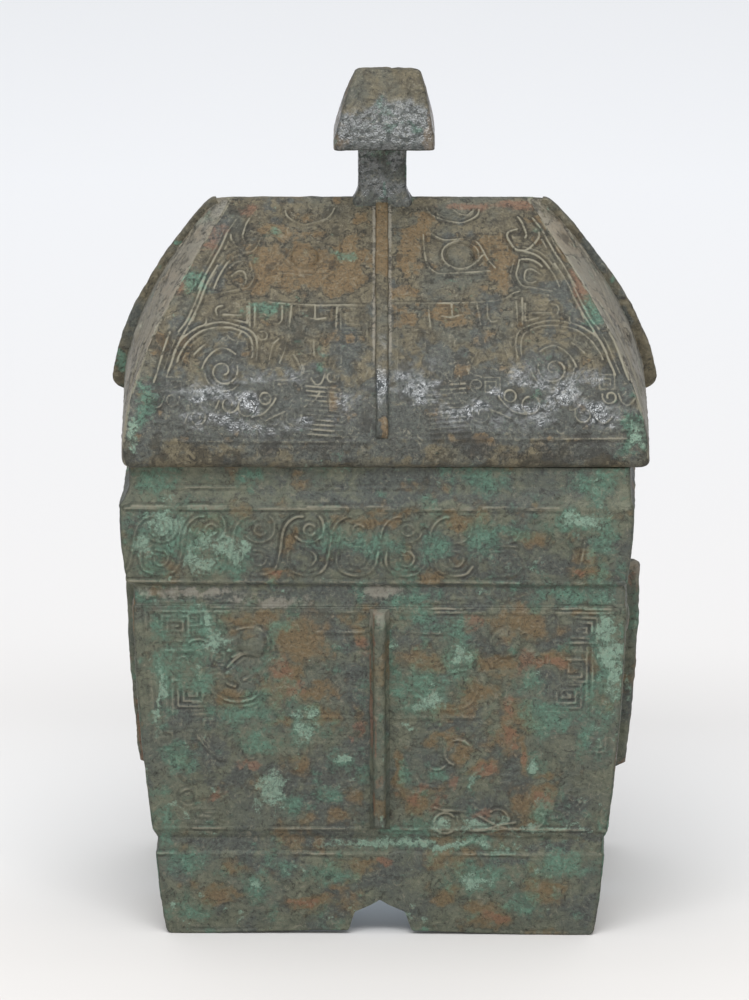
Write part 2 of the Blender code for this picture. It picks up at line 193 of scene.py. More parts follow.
# ---- Profiles -----------------------------------------------------------------------------------
def register(bottom, top, halves, bulge, steps=10):
    """Levels (height, half width) of one register, slightly swollen between its edges."""
    levels = []
    for i in range(steps + 1):
        s = i / steps
        levels.append((mix(bottom, top, s), mix(halves[0], halves[1], s) + bulge * math.sin(math.pi * s)))
    return levels


def body_profile():
    """Outer profile of the vessel, from the ground to the lip."""
    tuck_height, tuck = MAIN_TUCK
    profile = register(0.0, FOOT_TOP, FOOT_HALF, FOOT_BULGE)
    profile += [(FOOT_TOP + 0.2, FOOT_HALF[1] - STEP), (STRIP_TOP - 0.2, FOOT_HALF[1] - STEP)]
    profile += [(STRIP_TOP, MAIN_HALF[0] - tuck)]
    profile += register(STRIP_TOP + tuck_height, MAIN_TOP, MAIN_HALF, MAIN_BULGE)
    profile += [(MAIN_TOP + 0.2, MAIN_HALF[1] - STEP), (BAND_BOTTOM - 0.2, MAIN_HALF[1] - STEP)]
    profile += register(BAND_BOTTOM, BAND_TOP, BAND_HALF, BAND_BULGE)
    shoulder = mix(BAND_HALF[1], NECK_HALF, 0.45)
    profile += [(BAND_TOP + 1.2, shoulder), (BAND_TOP + LEDGE, NECK_HALF), (LIP, NECK_HALF)]
    return np.array(profile)


BODY_PROFILE = body_profile()


def half_width_at(z):
    """Half width of the vessel's outside at a height, its steps worn soft."""
    offsets = np.linspace(-0.3, 0.3, 5)
    looks = [np.interp(z + offset, BODY_PROFILE[:, 0], BODY_PROFILE[:, 1]) for offset in offsets]
    return sum(looks) / len(looks)


def body_middle(z):
    """X of the vessel's middle at a height: the band lies a little aside."""
    into_band = smoothstep(BAND_BOTTOM - 1.5, BAND_BOTTOM + 0.5, z)
    out_of_band = smoothstep(BAND_TOP - 0.5, BAND_TOP + LEDGE, z)
    return BODY_SHIFT + BAND_SHIFT * into_band * (1.0 - out_of_band)


def roof(t):
    """Half width, half depth and height of the lid's roof: t is 0 at the ridge, 1 at the rim."""
    swell = np.sin(np.pi / 2 * np.clip(t, 0.0, 1.0))
    half_x = mix(RIDGE_HALF, RIM_HALF, swell ** SPREAD_X)
    half_y = mix(RIDGE_BLUNT, RIM_HALF - NARROWER, swell ** SPREAD_Y)
    return half_x, half_y, mix(RIDGE_Z, LIP + SEAT_GAP + RIM_ROUND, t)


def roof_lean(t):
    return RIDGE_SHIFT * (1.0 - t)


def end_swell(t):
    """How far the middle of an end of the roof stands out beyond its hips."""
    return END_SWELL * (1.0 - t)


def swollen(along, half_run, swell):
    """Share of the swell at a distance from the middle of an end."""
    return swell * np.clip(1.0 - (along / half_run) ** 2, 0.0, 1.0)


def notch_height(across):
    """Height of the foot's lower edge at a distance from the wall's middle."""
    half, rise = NOTCH_SHOULDER
    along = [0.0, half * 0.36, half, NOTCH_HALF, NOTCH_HALF + 0.6]
    up = [NOTCH_APEX, mix(rise, NOTCH_APEX, 0.58), rise, 0.6, 0.0]
    return np.interp(np.abs(across), along, up)


# ---- Walls as surfaces --------------------------------------------------------------------------
def around_corner(s, half_run, half_away, corner):
    """One side of a round-cornered rectangle, out to the middle of each corner.

    s runs from -1 to 1 along the side.  Gives the place along the side, the distance out from the
    middle and the angle by which the surface has turned round the corner.
    """
    corner = np.minimum(corner, 0.9 * np.minimum(half_run, half_away))
    flat = half_run - corner
    length = flat + corner * np.pi / 4
    walk = np.abs(s) * length
    turn = np.clip((walk - flat) / corner, 0.0, np.pi / 4)
    along = np.where(walk <= flat, walk, flat + corner * np.sin(turn))
    away = half_away - corner + corner * np.cos(turn)
    return np.sign(s) * along, away, np.sign(s) * turn


def turned(side, along, away, z, middle):
    """Place on the named side, seen from outside: along runs to the viewer's right."""
    x, y = {
        "front": (along, -away),
        "back": (-along, away),
        "right": (away, along),
        "left": (-away, -along),
    }[side]
    return np.stack([middle + x, y, z], -1)


def body_wall(side, s, z):
    """Places and outward directions on one wall of the vessel; s runs from -1 to 1."""
    half = half_width_at(z)
    run = half if side in LONG_SIDES else half - NARROWER
    out = half - NARROWER if side in LONG_SIDES else half
    along, away, turn = around_corner(s, run, out, CORNER)
    zero = np.zeros_like(z)
    place = turned(side, along, away, z, body_middle(z))
    outward = turned(side, np.sin(turn), np.cos(turn), zero, zero)
    return place, outward, along


def roof_path(side, q):
    """Half sizes, height, lean, swell and slope at q millimetres of descent from the ridge line."""
    keys = ("x", "y", "z", "lean", "swell", "out", "up")
    return [np.interp(q, ROOF[side]["q"], ROOF[side][key]) for key in keys]


def roof_table(side):
    """Stations down one side of the lid: its ridge, its roof and its rounded rim."""
    t = np.linspace(0.0, 1.0, 400) ** 1.7
    stretches = [(*roof(t), roof_lean(t), end_swell(t))]
    angle = np.linspace(0.0, np.pi / 2, 16)[1:]
    rim = RIM_HALF - RIM_ROUND * (1.0 - np.cos(angle))
    rim_z = LIP + SEAT_GAP + RIM_ROUND * (1.0 - np.sin(angle))
    zero = np.zeros(len(angle))
    stretches.append((rim, rim - NARROWER, rim_z, zero, zero))
    if side in LONG_SIDES:
        crest = np.linspace(0.05, 0.9, 6)
        ridge_z = RIDGE_Z + 0.35 * (1.0 - crest ** 2)
        half_x, lean, swell = (np.full(6, value) for value in (RIDGE_HALF, RIDGE_SHIFT, END_SWELL))
        stretches.insert(0, (half_x, RIDGE_BLUNT * crest, ridge_z, lean, swell))
    half_x, half_y, z, lean, swell = (np.concatenate(parts) for parts in zip(*stretches))
    away = half_y if side in LONG_SIDES else half_x
    q = np.concatenate([[0.0], np.cumsum(np.hypot(np.diff(away), np.diff(z)))])
    slope = unit(np.stack([-np.gradient(z, q), np.gradient(away, q)], -1))
    table = {"q": q, "x": half_x, "y": half_y, "z": z, "lean": lean, "swell": swell}
    return {**table, "out": slope[:, 0], "up": slope[:, 1]}


ROOF = {side: roof_table(side) for side in TURNS}


def roof_wall(side, s, q):
    """Places and outward directions on one slope of the lid, in the lid's own place."""
    half_x, half_y, z, lean, swell, out, up = roof_path(side, q)
    if side in LONG_SIDES:
        along, away, turn = around_corner(s, half_x, half_y, CORNER)
        along = along + np.sign(along) * swollen(away, half_y, swell)
    else:
        along, away, turn = around_corner(s, half_y, half_x, CORNER)
        away = away + swollen(along, half_y, swell)
    place = turned(side, along, away, z, lean)
    zero = np.zeros_like(q)
    sideways = turned(side, np.sin(turn), np.cos(turn), zero, zero)
    upward = np.zeros_like(place)
    upward[..., 2] = 1.0
    outward = unit(sideways * out[..., None] + upward * up[..., None])
    return place, outward, along


def settle(places):
    """The left end above the main register has sunk inwards behind its front edge.

    The foot's lower edge is rounded off at its ends and rises a little towards the front notch.
    """
    x, y, z = np.moveaxis(places, -1, 0)
    sunk = smoothstep(138.0, 152.0, z) * smoothstep(-60.0, -78.0, x)
    sunk = SUNK_END * sunk * smoothstep(-64.0, -40.0, y) * smoothstep(66.0, 40.0, y)
    past = np.clip(np.abs(x - BODY_SHIFT) - FOOT_HALF[0] + FOOT_ROUND, 0.0, FOOT_ROUND)
    lift = FOOT_ROUND - np.sqrt(FOOT_ROUND ** 2 - 0.96 * past ** 2)
    lift += FOOT_RISE * smoothstep(-20.0, -40.0, y) * smoothstep(60.0, 10.0, np.abs(x + 6.0))
    lift *= np.clip(1.0 - z / 14.0, 0.0, 1.0)
    return places + np.stack([sunk, np.zeros_like(x), lift], -1)


def ornament_run(side, q):
    """Measure down a slope in which the ornament is drawn: a little longer than life near the ridge."""
    q = q * ROOF["front"]["q"][-1] / ROOF[side]["q"][-1]
    return 0.955 * q + 7.8 * (1.0 - np.exp(-np.maximum(q - 2.0, 0.0) / 7.5))


def set_askew(places):
    """Turn places of the lid by the angle at which it sits on the vessel."""
    c = math.cos(math.radians(LID_YAW))
    s = math.sin(math.radians(LID_YAW))
    x = places[..., 0] * c - places[..., 1] * s
    y = places[..., 0] * s + places[..., 1] * c
    return np.stack([x, y, places[..., 2]], -1)


# ---- Making meshes ------------------------------------------------------------------------------
def to_object(name, places, quads, triangles, finish, layers=None):
    """A mesh object from arrays of places in millimetres and faces, riding on the vessel."""
    slot_name, material = finish
    mesh = bpy.data.meshes.new(name)
    loops = np.concatenate([quads.ravel(), triangles.ravel()]).astype(np.int32)
    sizes = np.concatenate([np.full(len(quads), 4), np.full(len(triangles), 3)])
    starts = np.concatenate([[0], np.cumsum(sizes)[:-1]]).astype(np.int32)
    mesh.vertices.add(len(places))
    mesh.vertices.foreach_set("co", (places * MM).astype(np.float32).ravel())
    mesh.loops.add(len(loops))
    mesh.loops.foreach_set("vertex_index", loops)
    mesh.polygons.add(len(sizes))
    mesh.polygons.foreach_set("loop_start", starts)
    mesh.polygons.foreach_set("use_smooth", np.ones(len(sizes), bool))
    mesh.update(calc_edges=True)
    for layer, values in (layers or {}).items():
        attribute = mesh.attributes.new(layer, "FLOAT", "POINT")
        attribute.data.foreach_set("value", values.astype(np.float32))
    mesh.materials.append(material)
    piece = bpy.data.objects.new(name, mesh)
    bpy.context.scene.collection.objects.link(piece)
    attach(piece, "root")
    return piece


def grid_quads(rows, columns, first=0, flip=False):
    corner = (np.arange(rows - 1)[:, None] * columns + np.arange(columns - 1)).ravel() + first
    quads = np.stack([corner, corner + 1, corner + columns + 1, corner + columns], -1)
    return quads[:, ::-1] if flip else quads


def border_of(rows, columns):
    """Indices of a grid's border vertices, once round it."""
    index = np.arange(rows * columns).reshape(rows, columns)
    return np.concatenate([index[0, :-1], index[:-1, -1], index[-1, :0:-1], index[:0:-1, 0]])


def every_eighth(count):
    """Indices from 0 to the last, eight apart."""
    return np.unique(np.append(np.arange(0, count - 1, 8), count - 1))


def fans(anchors, count, first_ring, coarse):
    """Triangles from a fine ring of vertices to the coarse ring that its anchors lead to."""
    triangles = []
    for k, start in enumerate(anchors):
        after = (k + 1) % len(anchors)
        stop = anchors[after] + (count if anchors[after] <= start else 0)
        middle = (start + stop) // 2
        for i in range(start, stop):
            a, b = first_ring + i % count, first_ring + (i + 1) % count
            triangles.append((a, coarse[k] if i < middle else coarse[after], b))
        triangles.append((first_ring + middle % count, coarse[k], coarse[after]))
    return np.array(triangles)


def slab(name, wall, side, s, v, heights, finish, layers, settled):
    """A closed wall: a displaced grid in front, a plain coarse grid behind, strips round its edge.

    wall(side, s, v) gives places and directions, settled(places) moves the finished wall.  Rows are
    v, columns are s, both ascending.
    """
    place, outward, _ = wall(side, s, v)
    front = place + outward * heights[..., None]
    rows, columns = s.shape
    border = border_of(rows, columns)
    ring = (place - outward * SKIN).reshape(-1, 3)[border]

    picked = every_eighth(rows), every_eighth(columns)
    centre = mix(v[0].max(), v[-1].min(), 0.5)
    coarse_v = centre + (v[np.ix_(*picked)] - centre) * 0.96
    back_place, back_out, _ = wall(side, s[np.ix_(*picked)] * 0.97, coarse_v)
    back = (back_place - back_out * SKIN).reshape(-1, 3)

    count = len(border)
    first_ring = rows * columns
    first_back = first_ring + count
    around = np.arange(count)
    after = (around + 1) % count
    strip = np.stack([border[around], first_ring + around, first_ring + after, border[after]], -1)
    coarse_rows, coarse_columns = coarse_v.shape
    coarse_border = border_of(coarse_rows, coarse_columns)
    on_border = dict(zip(border.tolist(), range(count)))
    corners = (picked[0][:, None] * columns + picked[1]).ravel()[coarse_border]
    anchors = [on_border[corner] for corner in corners.tolist()]
    triangles = fans(anchors, count, first_ring, first_back + coarse_border)
    back_quads = grid_quads(coarse_rows, coarse_columns, first_back, flip=True)
    quads = np.concatenate([grid_quads(rows, columns), strip, back_quads])
    places = settled(np.concatenate([front.reshape(-1, 3), ring, back]))
    full = {}
    for layer, values in layers.items():
        full[layer] = np.concatenate([values.ravel(), values.ravel()[border], np.zeros(len(back))])
    return to_object(name, places, quads, triangles, finish, full)


# ---- Solids of rings: cores, post and knob ------------------------------------------------------
def rectangle(half_x, half_y, middle, z, corner, columns, notched=False, swell=0.0):
    """One ring: a round-cornered rectangle as places, starting on the front and going to +X."""
    pieces = []
    for side in ("front", "right", "back", "left"):
        run, away = (half_x, half_y) if side in LONG_SIDES else (half_y, half_x)
        s = np.asarray(columns[0] if side in LONG_SIDES else columns[1])
        along, out, _ = around_corner(s, run, away, corner)
        if side in LONG_SIDES:
            along = along + np.sign(along) * swollen(out, half_y, swell)
        else:
            out = out + swollen(along, half_y, swell)
        height = np.full(len(s), float(z))
        if notched:
            height = np.maximum(height, notch_height(along))
        pieces.append(turned(side, along, out, height, middle))
    return np.concatenate(pieces)


def spaced(half, corner, cell, extra=()):
    """Values of s along one side, about a cell apart, finer round the corners."""
    length = half - corner + corner * np.pi / 4
    bend = corner * np.pi / 4 / length
    flat = np.linspace(0.0, 1.0 - bend, max(2, int(round(length / cell))) + 1)
    round_part = np.linspace(1.0 - bend, 1.0, 5)[1:]
    half_side = np.unique(np.round(np.concatenate([flat, round_part, [e / length for e in extra]]), 6))
    return np.concatenate([-half_side[:0:-1], half_side])[1:]


def grid_normals(rings):
    around = np.roll(rings, -1, 1) - np.roll(rings, 1, 1)
    along = np.gradient(rings, axis=0)
    return unit(np.cross(around, along))


def ring_solid(name, rings, finish, layers=None):
    """A closed solid through rings of places, capped at both ends by a fan."""
    rows, columns = rings.shape[:2]
    count = rows * columns
    here = np.arange(count).reshape(rows, columns)
    right = np.roll(here, -1, 1)
    quads = np.stack([here[:-1], right[:-1], right[1:], here[1:]], -1).reshape(-1, 4)
    start = np.stack([np.full(columns, count), right[0], here[0]], -1)
    end = np.stack([np.full(columns, count + 1), here[-1], right[-1]], -1)
    places = np.concatenate([rings.reshape(-1, 3), rings[0].mean(0)[None], rings[-1].mean(0)[None]])
    ends = np.concatenate([start, end])
    halves = np.concatenate([quads[:, :3], quads[:, [0, 2, 3]], ends])
    a, b, c = (places[halves[:, i]] for i in range(3))
    inside_out = (a * np.cross(b, c)).sum() < 0.0
    if inside_out:
        quads, ends = quads[:, ::-1], ends[:, ::-1]
    full = {layer: np.append(values.ravel(), [0.0, 0.0]) for layer, values in (layers or {}).items()}
    return to_object(name, places, quads, ends, finish, full)


def body_core(finish):
    """The inside of the vessel, its floor, its lip and the hollow of its foot."""
    notch = (NOTCH_SHOULDER[0] * 0.36, NOTCH_SHOULDER[0], NOTCH_HALF, NOTCH_HALF + 0.6)
    columns = (spaced(FOOT_HALF[0], CORNER, 8.0, notch),
               spaced(FOOT_HALF[0] - NARROWER, CORNER, 8.0, notch))
    above_notch = 14.0
    low, high = FLOOR
    cup = [(high, share * (MAIN_HALF[0] - 3.0 - WALL)) for share in np.linspace(0.2, 1.0, 6)]
    cup += [(high + 1.0, MAIN_HALF[0] - 1.0 - WALL)]
    cup += [(z, half_width_at(z) - WALL) for z in np.linspace(high + 4.0, BAND_TOP - 2.0, 26)]
    cup += [(z, NECK_HALF - WALL) for z in (BAND_TOP, LIP - 4.0, LIP - 0.45)]
    cup += [(LIP - 0.05, NECK_HALF - WALL + 0.4)]
    outside = [(LIP - 0.05, NECK_HALF - CORE_INSET)]
    outside += [(z, half_width_at(z) - CORE_INSET) for z in np.linspace(LIP - 3.0, above_notch, 60)]
    outside += [(0.0, half_width_at(0.0) - CORE_INSET)]
    under = [(z, half_width_at(z) - WALL) for z in (0.0, above_notch)]
    under += [(low - 2.0, FOOT_HALF[1] - WALL)]
    under += [(low, share * (FOOT_HALF[1] - 2.0 - WALL)) for share in np.linspace(1.0, 0.2, 6)]
    rings = []
    for levels, corner in ((cup, CORNER + 1.0), (outside, CORNER), (under, CORNER + 1.0)):
        for z, half in levels:
            half_y = half - NARROWER if half > 50.0 else half * (FOOT_HALF[1] - NARROWER) / FOOT_HALF[1]
            rings.append(rectangle(half, half_y, body_middle(z), z, corner, columns, notched=z == 0.0))
    return ring_solid("vessel_core", settle(np.array(rings)), finish)


def inset_roof(t, inset):
    """One level of the roof, drawn in by a distance that fades in height towards the rim."""
    half_x, half_y, z = roof(t)
    return z - inset * (1.0 - t), half_x - inset, half_y - inset, roof_lean(t), CORNER, end_swell(t)


def lid_core(finish):
    """The hollow under the roof, the flat seat inside the rim and the tongue."""
    columns = (spaced(RIM_HALF, CORNER, 9.0), spaced(RIM_HALF - NARROWER, CORNER, 9.0))
    seat = LIP + SEAT_GAP
    plate_top = seat + RIM_PLATE
    end = seat - TONGUE_DEPTH
    rim = np.array([RIM_HALF, RIM_HALF - NARROWER])
    tongue = np.array(TONGUE_HALF)
    throat = tongue - TONGUE_WALL
    inner, outer = 2.0, 2.4
    upright = [(plate_top, rim - WALL, CORNER), (plate_top, throat + 0.4, inner)]
    upright += [(z, throat, inner) for z in (plate_top - 0.4, seat, end + 0.5)]
    upright += [(end, throat + 0.5, inner), (end, tongue - 0.5, outer)]
    upright += [(z, tongue, outer) for z in (end + 0.5, seat - 4.0, seat)]
    upright += [(seat, rim - RIM_ROUND, CORNER)]
    reach = RIM_ROUND - CORE_INSET
    for angle in np.radians([20.0, 45.0, 70.0, 90.0]):
        z = seat + RIM_ROUND - reach * math.cos(angle)
        upright.append((z, rim - RIM_ROUND + reach * math.sin(angle), CORNER))
    levels = [inset_roof(t, WALL) for t in np.linspace(0.16, 0.93, 16)]
    levels += [(z, half_x, half_y, 0.0, corner, 0.0) for z, (half_x, half_y), corner in upright]
    levels += [inset_roof(t, CORE_INSET) for t in np.linspace(0.98, 0.0, 30) ** 1.5]
    rings = []
    for z, half_x, half_y, lean, corner, swell in levels:
        rings.append(rectangle(half_x, half_y, lean, z, corner, columns, swell=swell))
    return ring_solid("lid_core", set_askew(np.array(rings)), finish)


def post_levels():
    """Height, half width, half depth and middle of the post, from inside the ridge up to the knob."""
    under = -0.22
    for s in np.linspace(under, 1.0, 60):
        low = max(0.0, 1.0 - 4.0 * max(s, 0.0)) ** 2
        high = 0.6 * max(0.0, 4.0 * s - 3.0) ** 2
        z = mix(RIDGE_Z, KNOB_BOTTOM + 1.0, s) if s > 0.0 else mix(RIDGE_Z, RIDGE_Z - POST_FOOT, s / under)
        half_x, half_y = (half + flare * low + high for half, flare in zip(POST_HALF, POST_FLARE))
        yield z, half_x, half_y, POST_SHIFT


def knob_levels():
    """Height, half width, half depth and middle of the knob, from its underside to its ridge."""
    half_x, half_y = KNOB_HALF
    lower_round = 0.7
    for s in np.linspace(0.3, 1.0, 10):
        yield KNOB_BOTTOM, s * (half_x - lower_round), s * (half_y - lower_round), KNOB_SHIFT[0]
    for angle in np.linspace(0.2, np.pi / 2, 4):
        z = KNOB_BOTTOM + lower_round * (1.0 - math.cos(angle))
        out = lower_round * math.sin(angle) - lower_round
        yield z, half_x + out, half_y + out, KNOB_SHIFT[0]
    for s in np.linspace(0.0, 1.0, 64):
        swell = 1.0 - s ** KNOB_SPREAD
        z = mix(KNOB_BOTTOM + KNOB_RIM, KNOB_TOP, s)
        over = max(0.0, 1.0 - (KNOB_TOP - z) / KNOB_ROUND)
        rounding = KNOB_ROUND * (1.0 - math.sqrt(1.0 - over ** 2))
        wide = mix(KNOB_RIDGE[0], half_x, swell) - rounding
        deep = mix(KNOB_RIDGE[1], half_y, swell) - 0.5 * rounding
        yield z, wide, deep, mix(*KNOB_SHIFT, s)


# ---- Ribs: the flanges --------------------------------------------------------------------------
def rib(name, spine, outward, across, stand, finish, paint, round_off, fillet=0.0):
    """A flange along a spine, given how far it stands off at each station.

    round_off is the share of its half thickness that its edges are rounded by, fillet how far it
    spreads at its root.
    """
    half = FLANGE / 2
    rings = []
    for place, out, high in zip(spine, outward, stand):
        r = min(round_off * half, 0.45 * max(high, 0.1))
        points = []
        for v in (mix(-FLANGE_ROOT, high - r, i / 8) for i in range(9)):
            points.append((-half - fillet * max(0.0, 1.0 - max(v, 0.0) / FLANGE_FILLET_HIGH) ** 2, v))
        for a in np.radians([30.0, 60.0, 90.0]):
            points.append((-half + r - r * math.cos(a), high - r + r * math.sin(a)))
        points += [(mix(-half + r, half - r, i / 6), high) for i in range(1, 6)]
        points += [(-u, v) for u, v in points[11::-1]]
        rings.append([place + across * u + out * v for u, v in points])
    rings = worn_rib(np.array(rings))
    layers = paint(rings)
    if name.startswith("lid"):
        rings = set_askew(rings)
    return ring_solid(name, rings, finish, layers)


# ---- Fields: the relief and the patina of one wall ----------------------------------------------
PATINAS = ("teal", "pale", "rust", "red", "slate_and_shade", "dust", "gloss")


class Field:
    """What lies on one wall: raised lines, hollows beside them, domes and patches of patina.

    across and run place each vertex in millimetres: across from the middle, to the right as seen
    from outside, and run up the vessel or down the lid.
    """

    def __init__(self, place, across, run, seed, width=0.8):
        self.place = place
        self.across = across
        self.run = run
        self.seed = seed
        self.width = width
        self.line = np.zeros(across.shape)
        self.ditch = np.zeros(across.shape)
        self.swell = np.zeros(across.shape)
        self.masks = {name: np.zeros(across.shape) for name in PATINAS}
        self.warp_x = across + 13.0 * cloud(place, 10.0, seed + 11, octaves=5, fade=0.66)
        self.warp_v = run + 13.0 * cloud(place, 10.0, seed + 23, octaves=5, fade=0.66)
        self.tatter = 1.9 * cloud(place, 3.6, seed + 31, octaves=3, fade=0.7)
        self.row_low = run.min(1)
        self.row_high = run.max(1)

    def window(self, low, high):
        """Slices of the rows and columns that may lie in a box."""
        rows = np.nonzero((self.row_high > low[1]) & (self.row_low < high[1]))[0]
        if len(rows) == 0:
            return None
        part = self.across[rows[0]:rows[-1] + 1]
        columns = np.nonzero((part.max(0) > low[0]) & (part.min(0) < high[0]))[0]
        if len(columns) == 0:
            return None
        return slice(rows[0], rows[-1] + 1), slice(columns[0], columns[-1] + 1)

    def stroke(self, points, strength):
        """A raised line through points, with a hollow along each side of it."""
        margin = 2.8 * self.width
        for start, stop in zip(points[:-1], points[1:]):
            part = self.window(np.minimum(start, stop) - margin, np.maximum(start, stop) + margin)
            if part is None:
                continue
            x = self.across[part] - start[0]
            v = self.run[part] - start[1]
            way = stop - start
            s = np.clip((x * way[0] + v * way[1]) / max(way @ way, 1e-6), 0.0, 1.0)
            away = np.hypot(x - s * way[0], v - s * way[1]) / self.width
            bump = strength * np.clip(1.0 - away ** 2, 0.0, 1.0)
            hollow = strength * np.exp(-((away - 1.6) / 0.6) ** 2)
            self.line[part] = np.maximum(self.line[part], bump)
            self.ditch[part] = np.maximum(self.ditch[part], hollow)

    def domes(self, x, v, radius, height, hands=(1, -1)):
        """Rounded bosses, one for each hand."""
        for hand in hands:
            away = np.hypot(self.across - hand * x, self.run - v) / radius
            bump = height * np.sqrt(np.clip(1.0 - away ** 2, 0.0, 1.0))
            self.swell = np.maximum(self.swell, bump)

    def lay(self, name, patch):
        self.masks[name] = np.maximum(self.masks[name], patch)

    def patches(self, name, spots):
        """Patches of one patina with ragged edges: each is (across, run, half width, half height)."""
        for x, v, half_x, half_v in spots:
            reach = np.hypot((self.warp_x - x) / half_x, (self.warp_v - v) / half_v) + self.tatter
            self.lay(name, 1.0 - smoothstep(0.0, 2.0, reach))

    def stray(self, name, size, cover, strength=1.0, shift=0):
        """Chance patches of one patina over the whole wall; cover is the share that they take."""
        noise = cloud(self.place, size, self.seed + 41 + shift, octaves=5, fade=0.6)
        level = np.quantile(noise, 1.0 - cover)
        spread = 0.12
        self.lay(name, strength * smoothstep(level - spread, level + spread, noise))

    def crispness(self, least):
        """How well the lines have lasted from place to place."""
        broad = cloud(self.place, 24.0, self.seed + 5, octaves=4, fade=0.6)
        chips = cloud(self.place, 3.5, self.seed + 6, octaves=3, fade=0.6)
        return np.clip(0.62 + 2.8 * broad + 1.3 * chips, least, 1.0)

    def heights(self, raised, sunk, least):
        """Height of the surface: the ornament as worn, then lumps, crust and pits."""
        crisp = self.crispness(least)
        self.line = self.line * crisp
        self.ditch = self.ditch * crisp * (1.0 - self.line)
        crust = np.maximum(self.masks["teal"], self.masks["pale"])
        lumps = 0.34 * cloud(self.place, 16.0, self.seed + 61)
        lumps += 0.42 * cloud(self.place, 4.0, self.seed + 62)
        grain = 0.5 * cloud(self.place, 1.5, self.seed + 63, octaves=2)
        pits = smoothstep(0.80, 0.92, value_noise(self.place, 1.6, self.seed + 64))
        rough = 0.24 + 0.3 * crust + 0.12 * self.masks["gloss"]
        return (self.swell + raised * self.line - sunk * self.ditch + lumps
                + rough * grain + 0.08 * crust - 0.16 * pits * (1.0 - self.line))

    def layers(self):
        return {"line": self.line, "ditch": self.ditch, **self.masks}


class Pen:
    """Draws on a field, mirrored by hand, stretched sideways and moved."""

    def __init__(self, field, hand=1, stretch=1.0, shift=0.0, lift=0.0, strength=1.0):
        self.field = field
        self.hand = hand
        self.stretch = stretch
        self.shift = shift
        self.lift = lift
        self.strength = strength

    def line(self, *points, strength=1.0, echo=0.0):
        """Straight strokes from point to point, and a fainter one that keeps beside them."""
        path = np.array(points, float)
        if echo:
            way = np.gradient(path, axis=0)
            aside = unit(np.stack([-way[:, 1], way[:, 0]], -1))
            self.line(*(path + echo * aside), strength=0.6 * strength)
        path[:, 0] = self.shift + self.hand * self.stretch * path[:, 0]
        path[:, 1] += self.lift
        self.field.stroke(path, strength * self.strength)

    def curve(self, *points, strength=1.0, echo=0.0):
        """A smooth stroke through the points."""
        p = np.array([points[0], *points, points[-1]], float)
        s = np.linspace(0.0, 1.0, 5)[:-1, None]
        path = []
        for a, b, c, d in zip(p, p[1:], p[2:], p[3:]):
            bend = 2 * a - 5 * b + 4 * c - d + s * (3 * (b - c) + d - a)
            path.append(b + 0.5 * s * (c - a + s * bend))
        self.line(*np.concatenate(path), points[-1], strength=strength, echo=echo)

    def arc(self, x, v, radius, start, stop, end_radius=None, strength=1.0):
        """A round stroke or, with an end radius, a spiral; 90 degrees is the way that v grows."""
        steps = max(6, int(abs(stop - start) / 18.0))
        angle = np.radians(np.linspace(start, stop, steps + 1))
        reach = np.linspace(radius, radius if end_radius is None else end_radius, steps + 1)
        self.line(*np.stack([x + reach * np.cos(angle), v + reach * np.sin(angle)], -1), strength=strength)

    def maze(self, x, v, size, gap=1.6, strength=1.0, turn=1):
        """A thunder pattern: one line wound inwards as a square."""
        half = size / 2
        points = [(-half, -half)]
        while half > 0.4:
            points += [(half, -half), (half, half), (-half, half), (-half, -half + gap)]
            half -= gap
        self.line(*[(x + turn * px, v + pv) for px, pv in points], strength=strength)

    def filler(self, x0, x1, v0, v1, pitch=6.0, strength=0.4):
        """Small coils, hooks and thunder patterns wherever no stroke has been drawn yet."""
        for i, v in enumerate(np.arange(v0, v1, 0.9 * pitch)):
            for j, x in enumerate(np.arange(x0 + 0.5 * pitch * (i % 2), x1, pitch)):
                kind = (3 * i + 7 * j + i * j) % 11
                x += 0.16 * pitch * math.sin(5.1 * i + 3.7 * j)
                y = v + 0.16 * pitch * math.cos(4.3 * i + 6.1 * j)
                spot = np.array([self.shift + self.hand * self.stretch * x, y + self.lift])
                part = self.field.window(spot - 0.3 * pitch, spot + 0.3 * pitch)
                if part is not None and self.field.line[part].max() > 0.25:
                    continue
                if kind < 3:
                    self.maze(x, y, 0.8 * pitch, 1.35, strength, turn=1 - 2 * (i % 2))
                elif kind < 6:
                    left, right, up = x - 0.4 * pitch, x + 0.4 * pitch, y + 0.5 * pitch
                    self.line((left, y), (right, y), (right, up), (x - 0.1 * pitch, up), strength=strength)
                else:
                    start = 70 * i + 115 * j
                    self.arc(x, y, 0.44 * pitch, start, start + 200 + 30 * kind, 0.8, strength)

    def rows(self, x0, x1, v0, v1, pitch, tilt=0.0, strength=1.0):
        """Parallel strokes from x0 to x1, each tilt higher at its end."""
        for v in np.arange(v0, v1, pitch):
            self.line((x0, v), (x1, v + tilt), strength=strength)


# ---- Ornament of the lid ------------------------------------------------------------------------
def lid_brow_and_eye(pen):
    pen.curve((15, 7.5), (16, 11), (18.2, 14), (23, 16.2), (26.2, 16.7), (29.5, 14.6), (31.5, 12),
              (32, 8.8), echo=-1.8)
    pen.curve((18.3, 6.8), (17.9, 9.3), (18.7, 12.6), strength=0.7)
    pen.curve((23.2, 8.5), (25.8, 11.8), (28, 12.4), (29.8, 10.1), strength=0.8)
    pen.curve((13.8, 22.5), (13.9, 27.5), (14.3, 32.7), (15.2, 36.2), (17.4, 38.7), (20, 39.3),
              (29.8, 38.7), (35, 38.2), strength=0.8)
    pen.curve((15.6, 21.7), (19.7, 24.7), (22.7, 25), (26.1, 24.6), (28.7, 25), (31.3, 26.5),
              (34.2, 33.2), (36.6, 37), strength=0.8)
    pen.line((32.6, 31.8), (31, 34.3))
    pen.arc(25.5, 31.5, 5.9, 0, 360, strength=0.75)


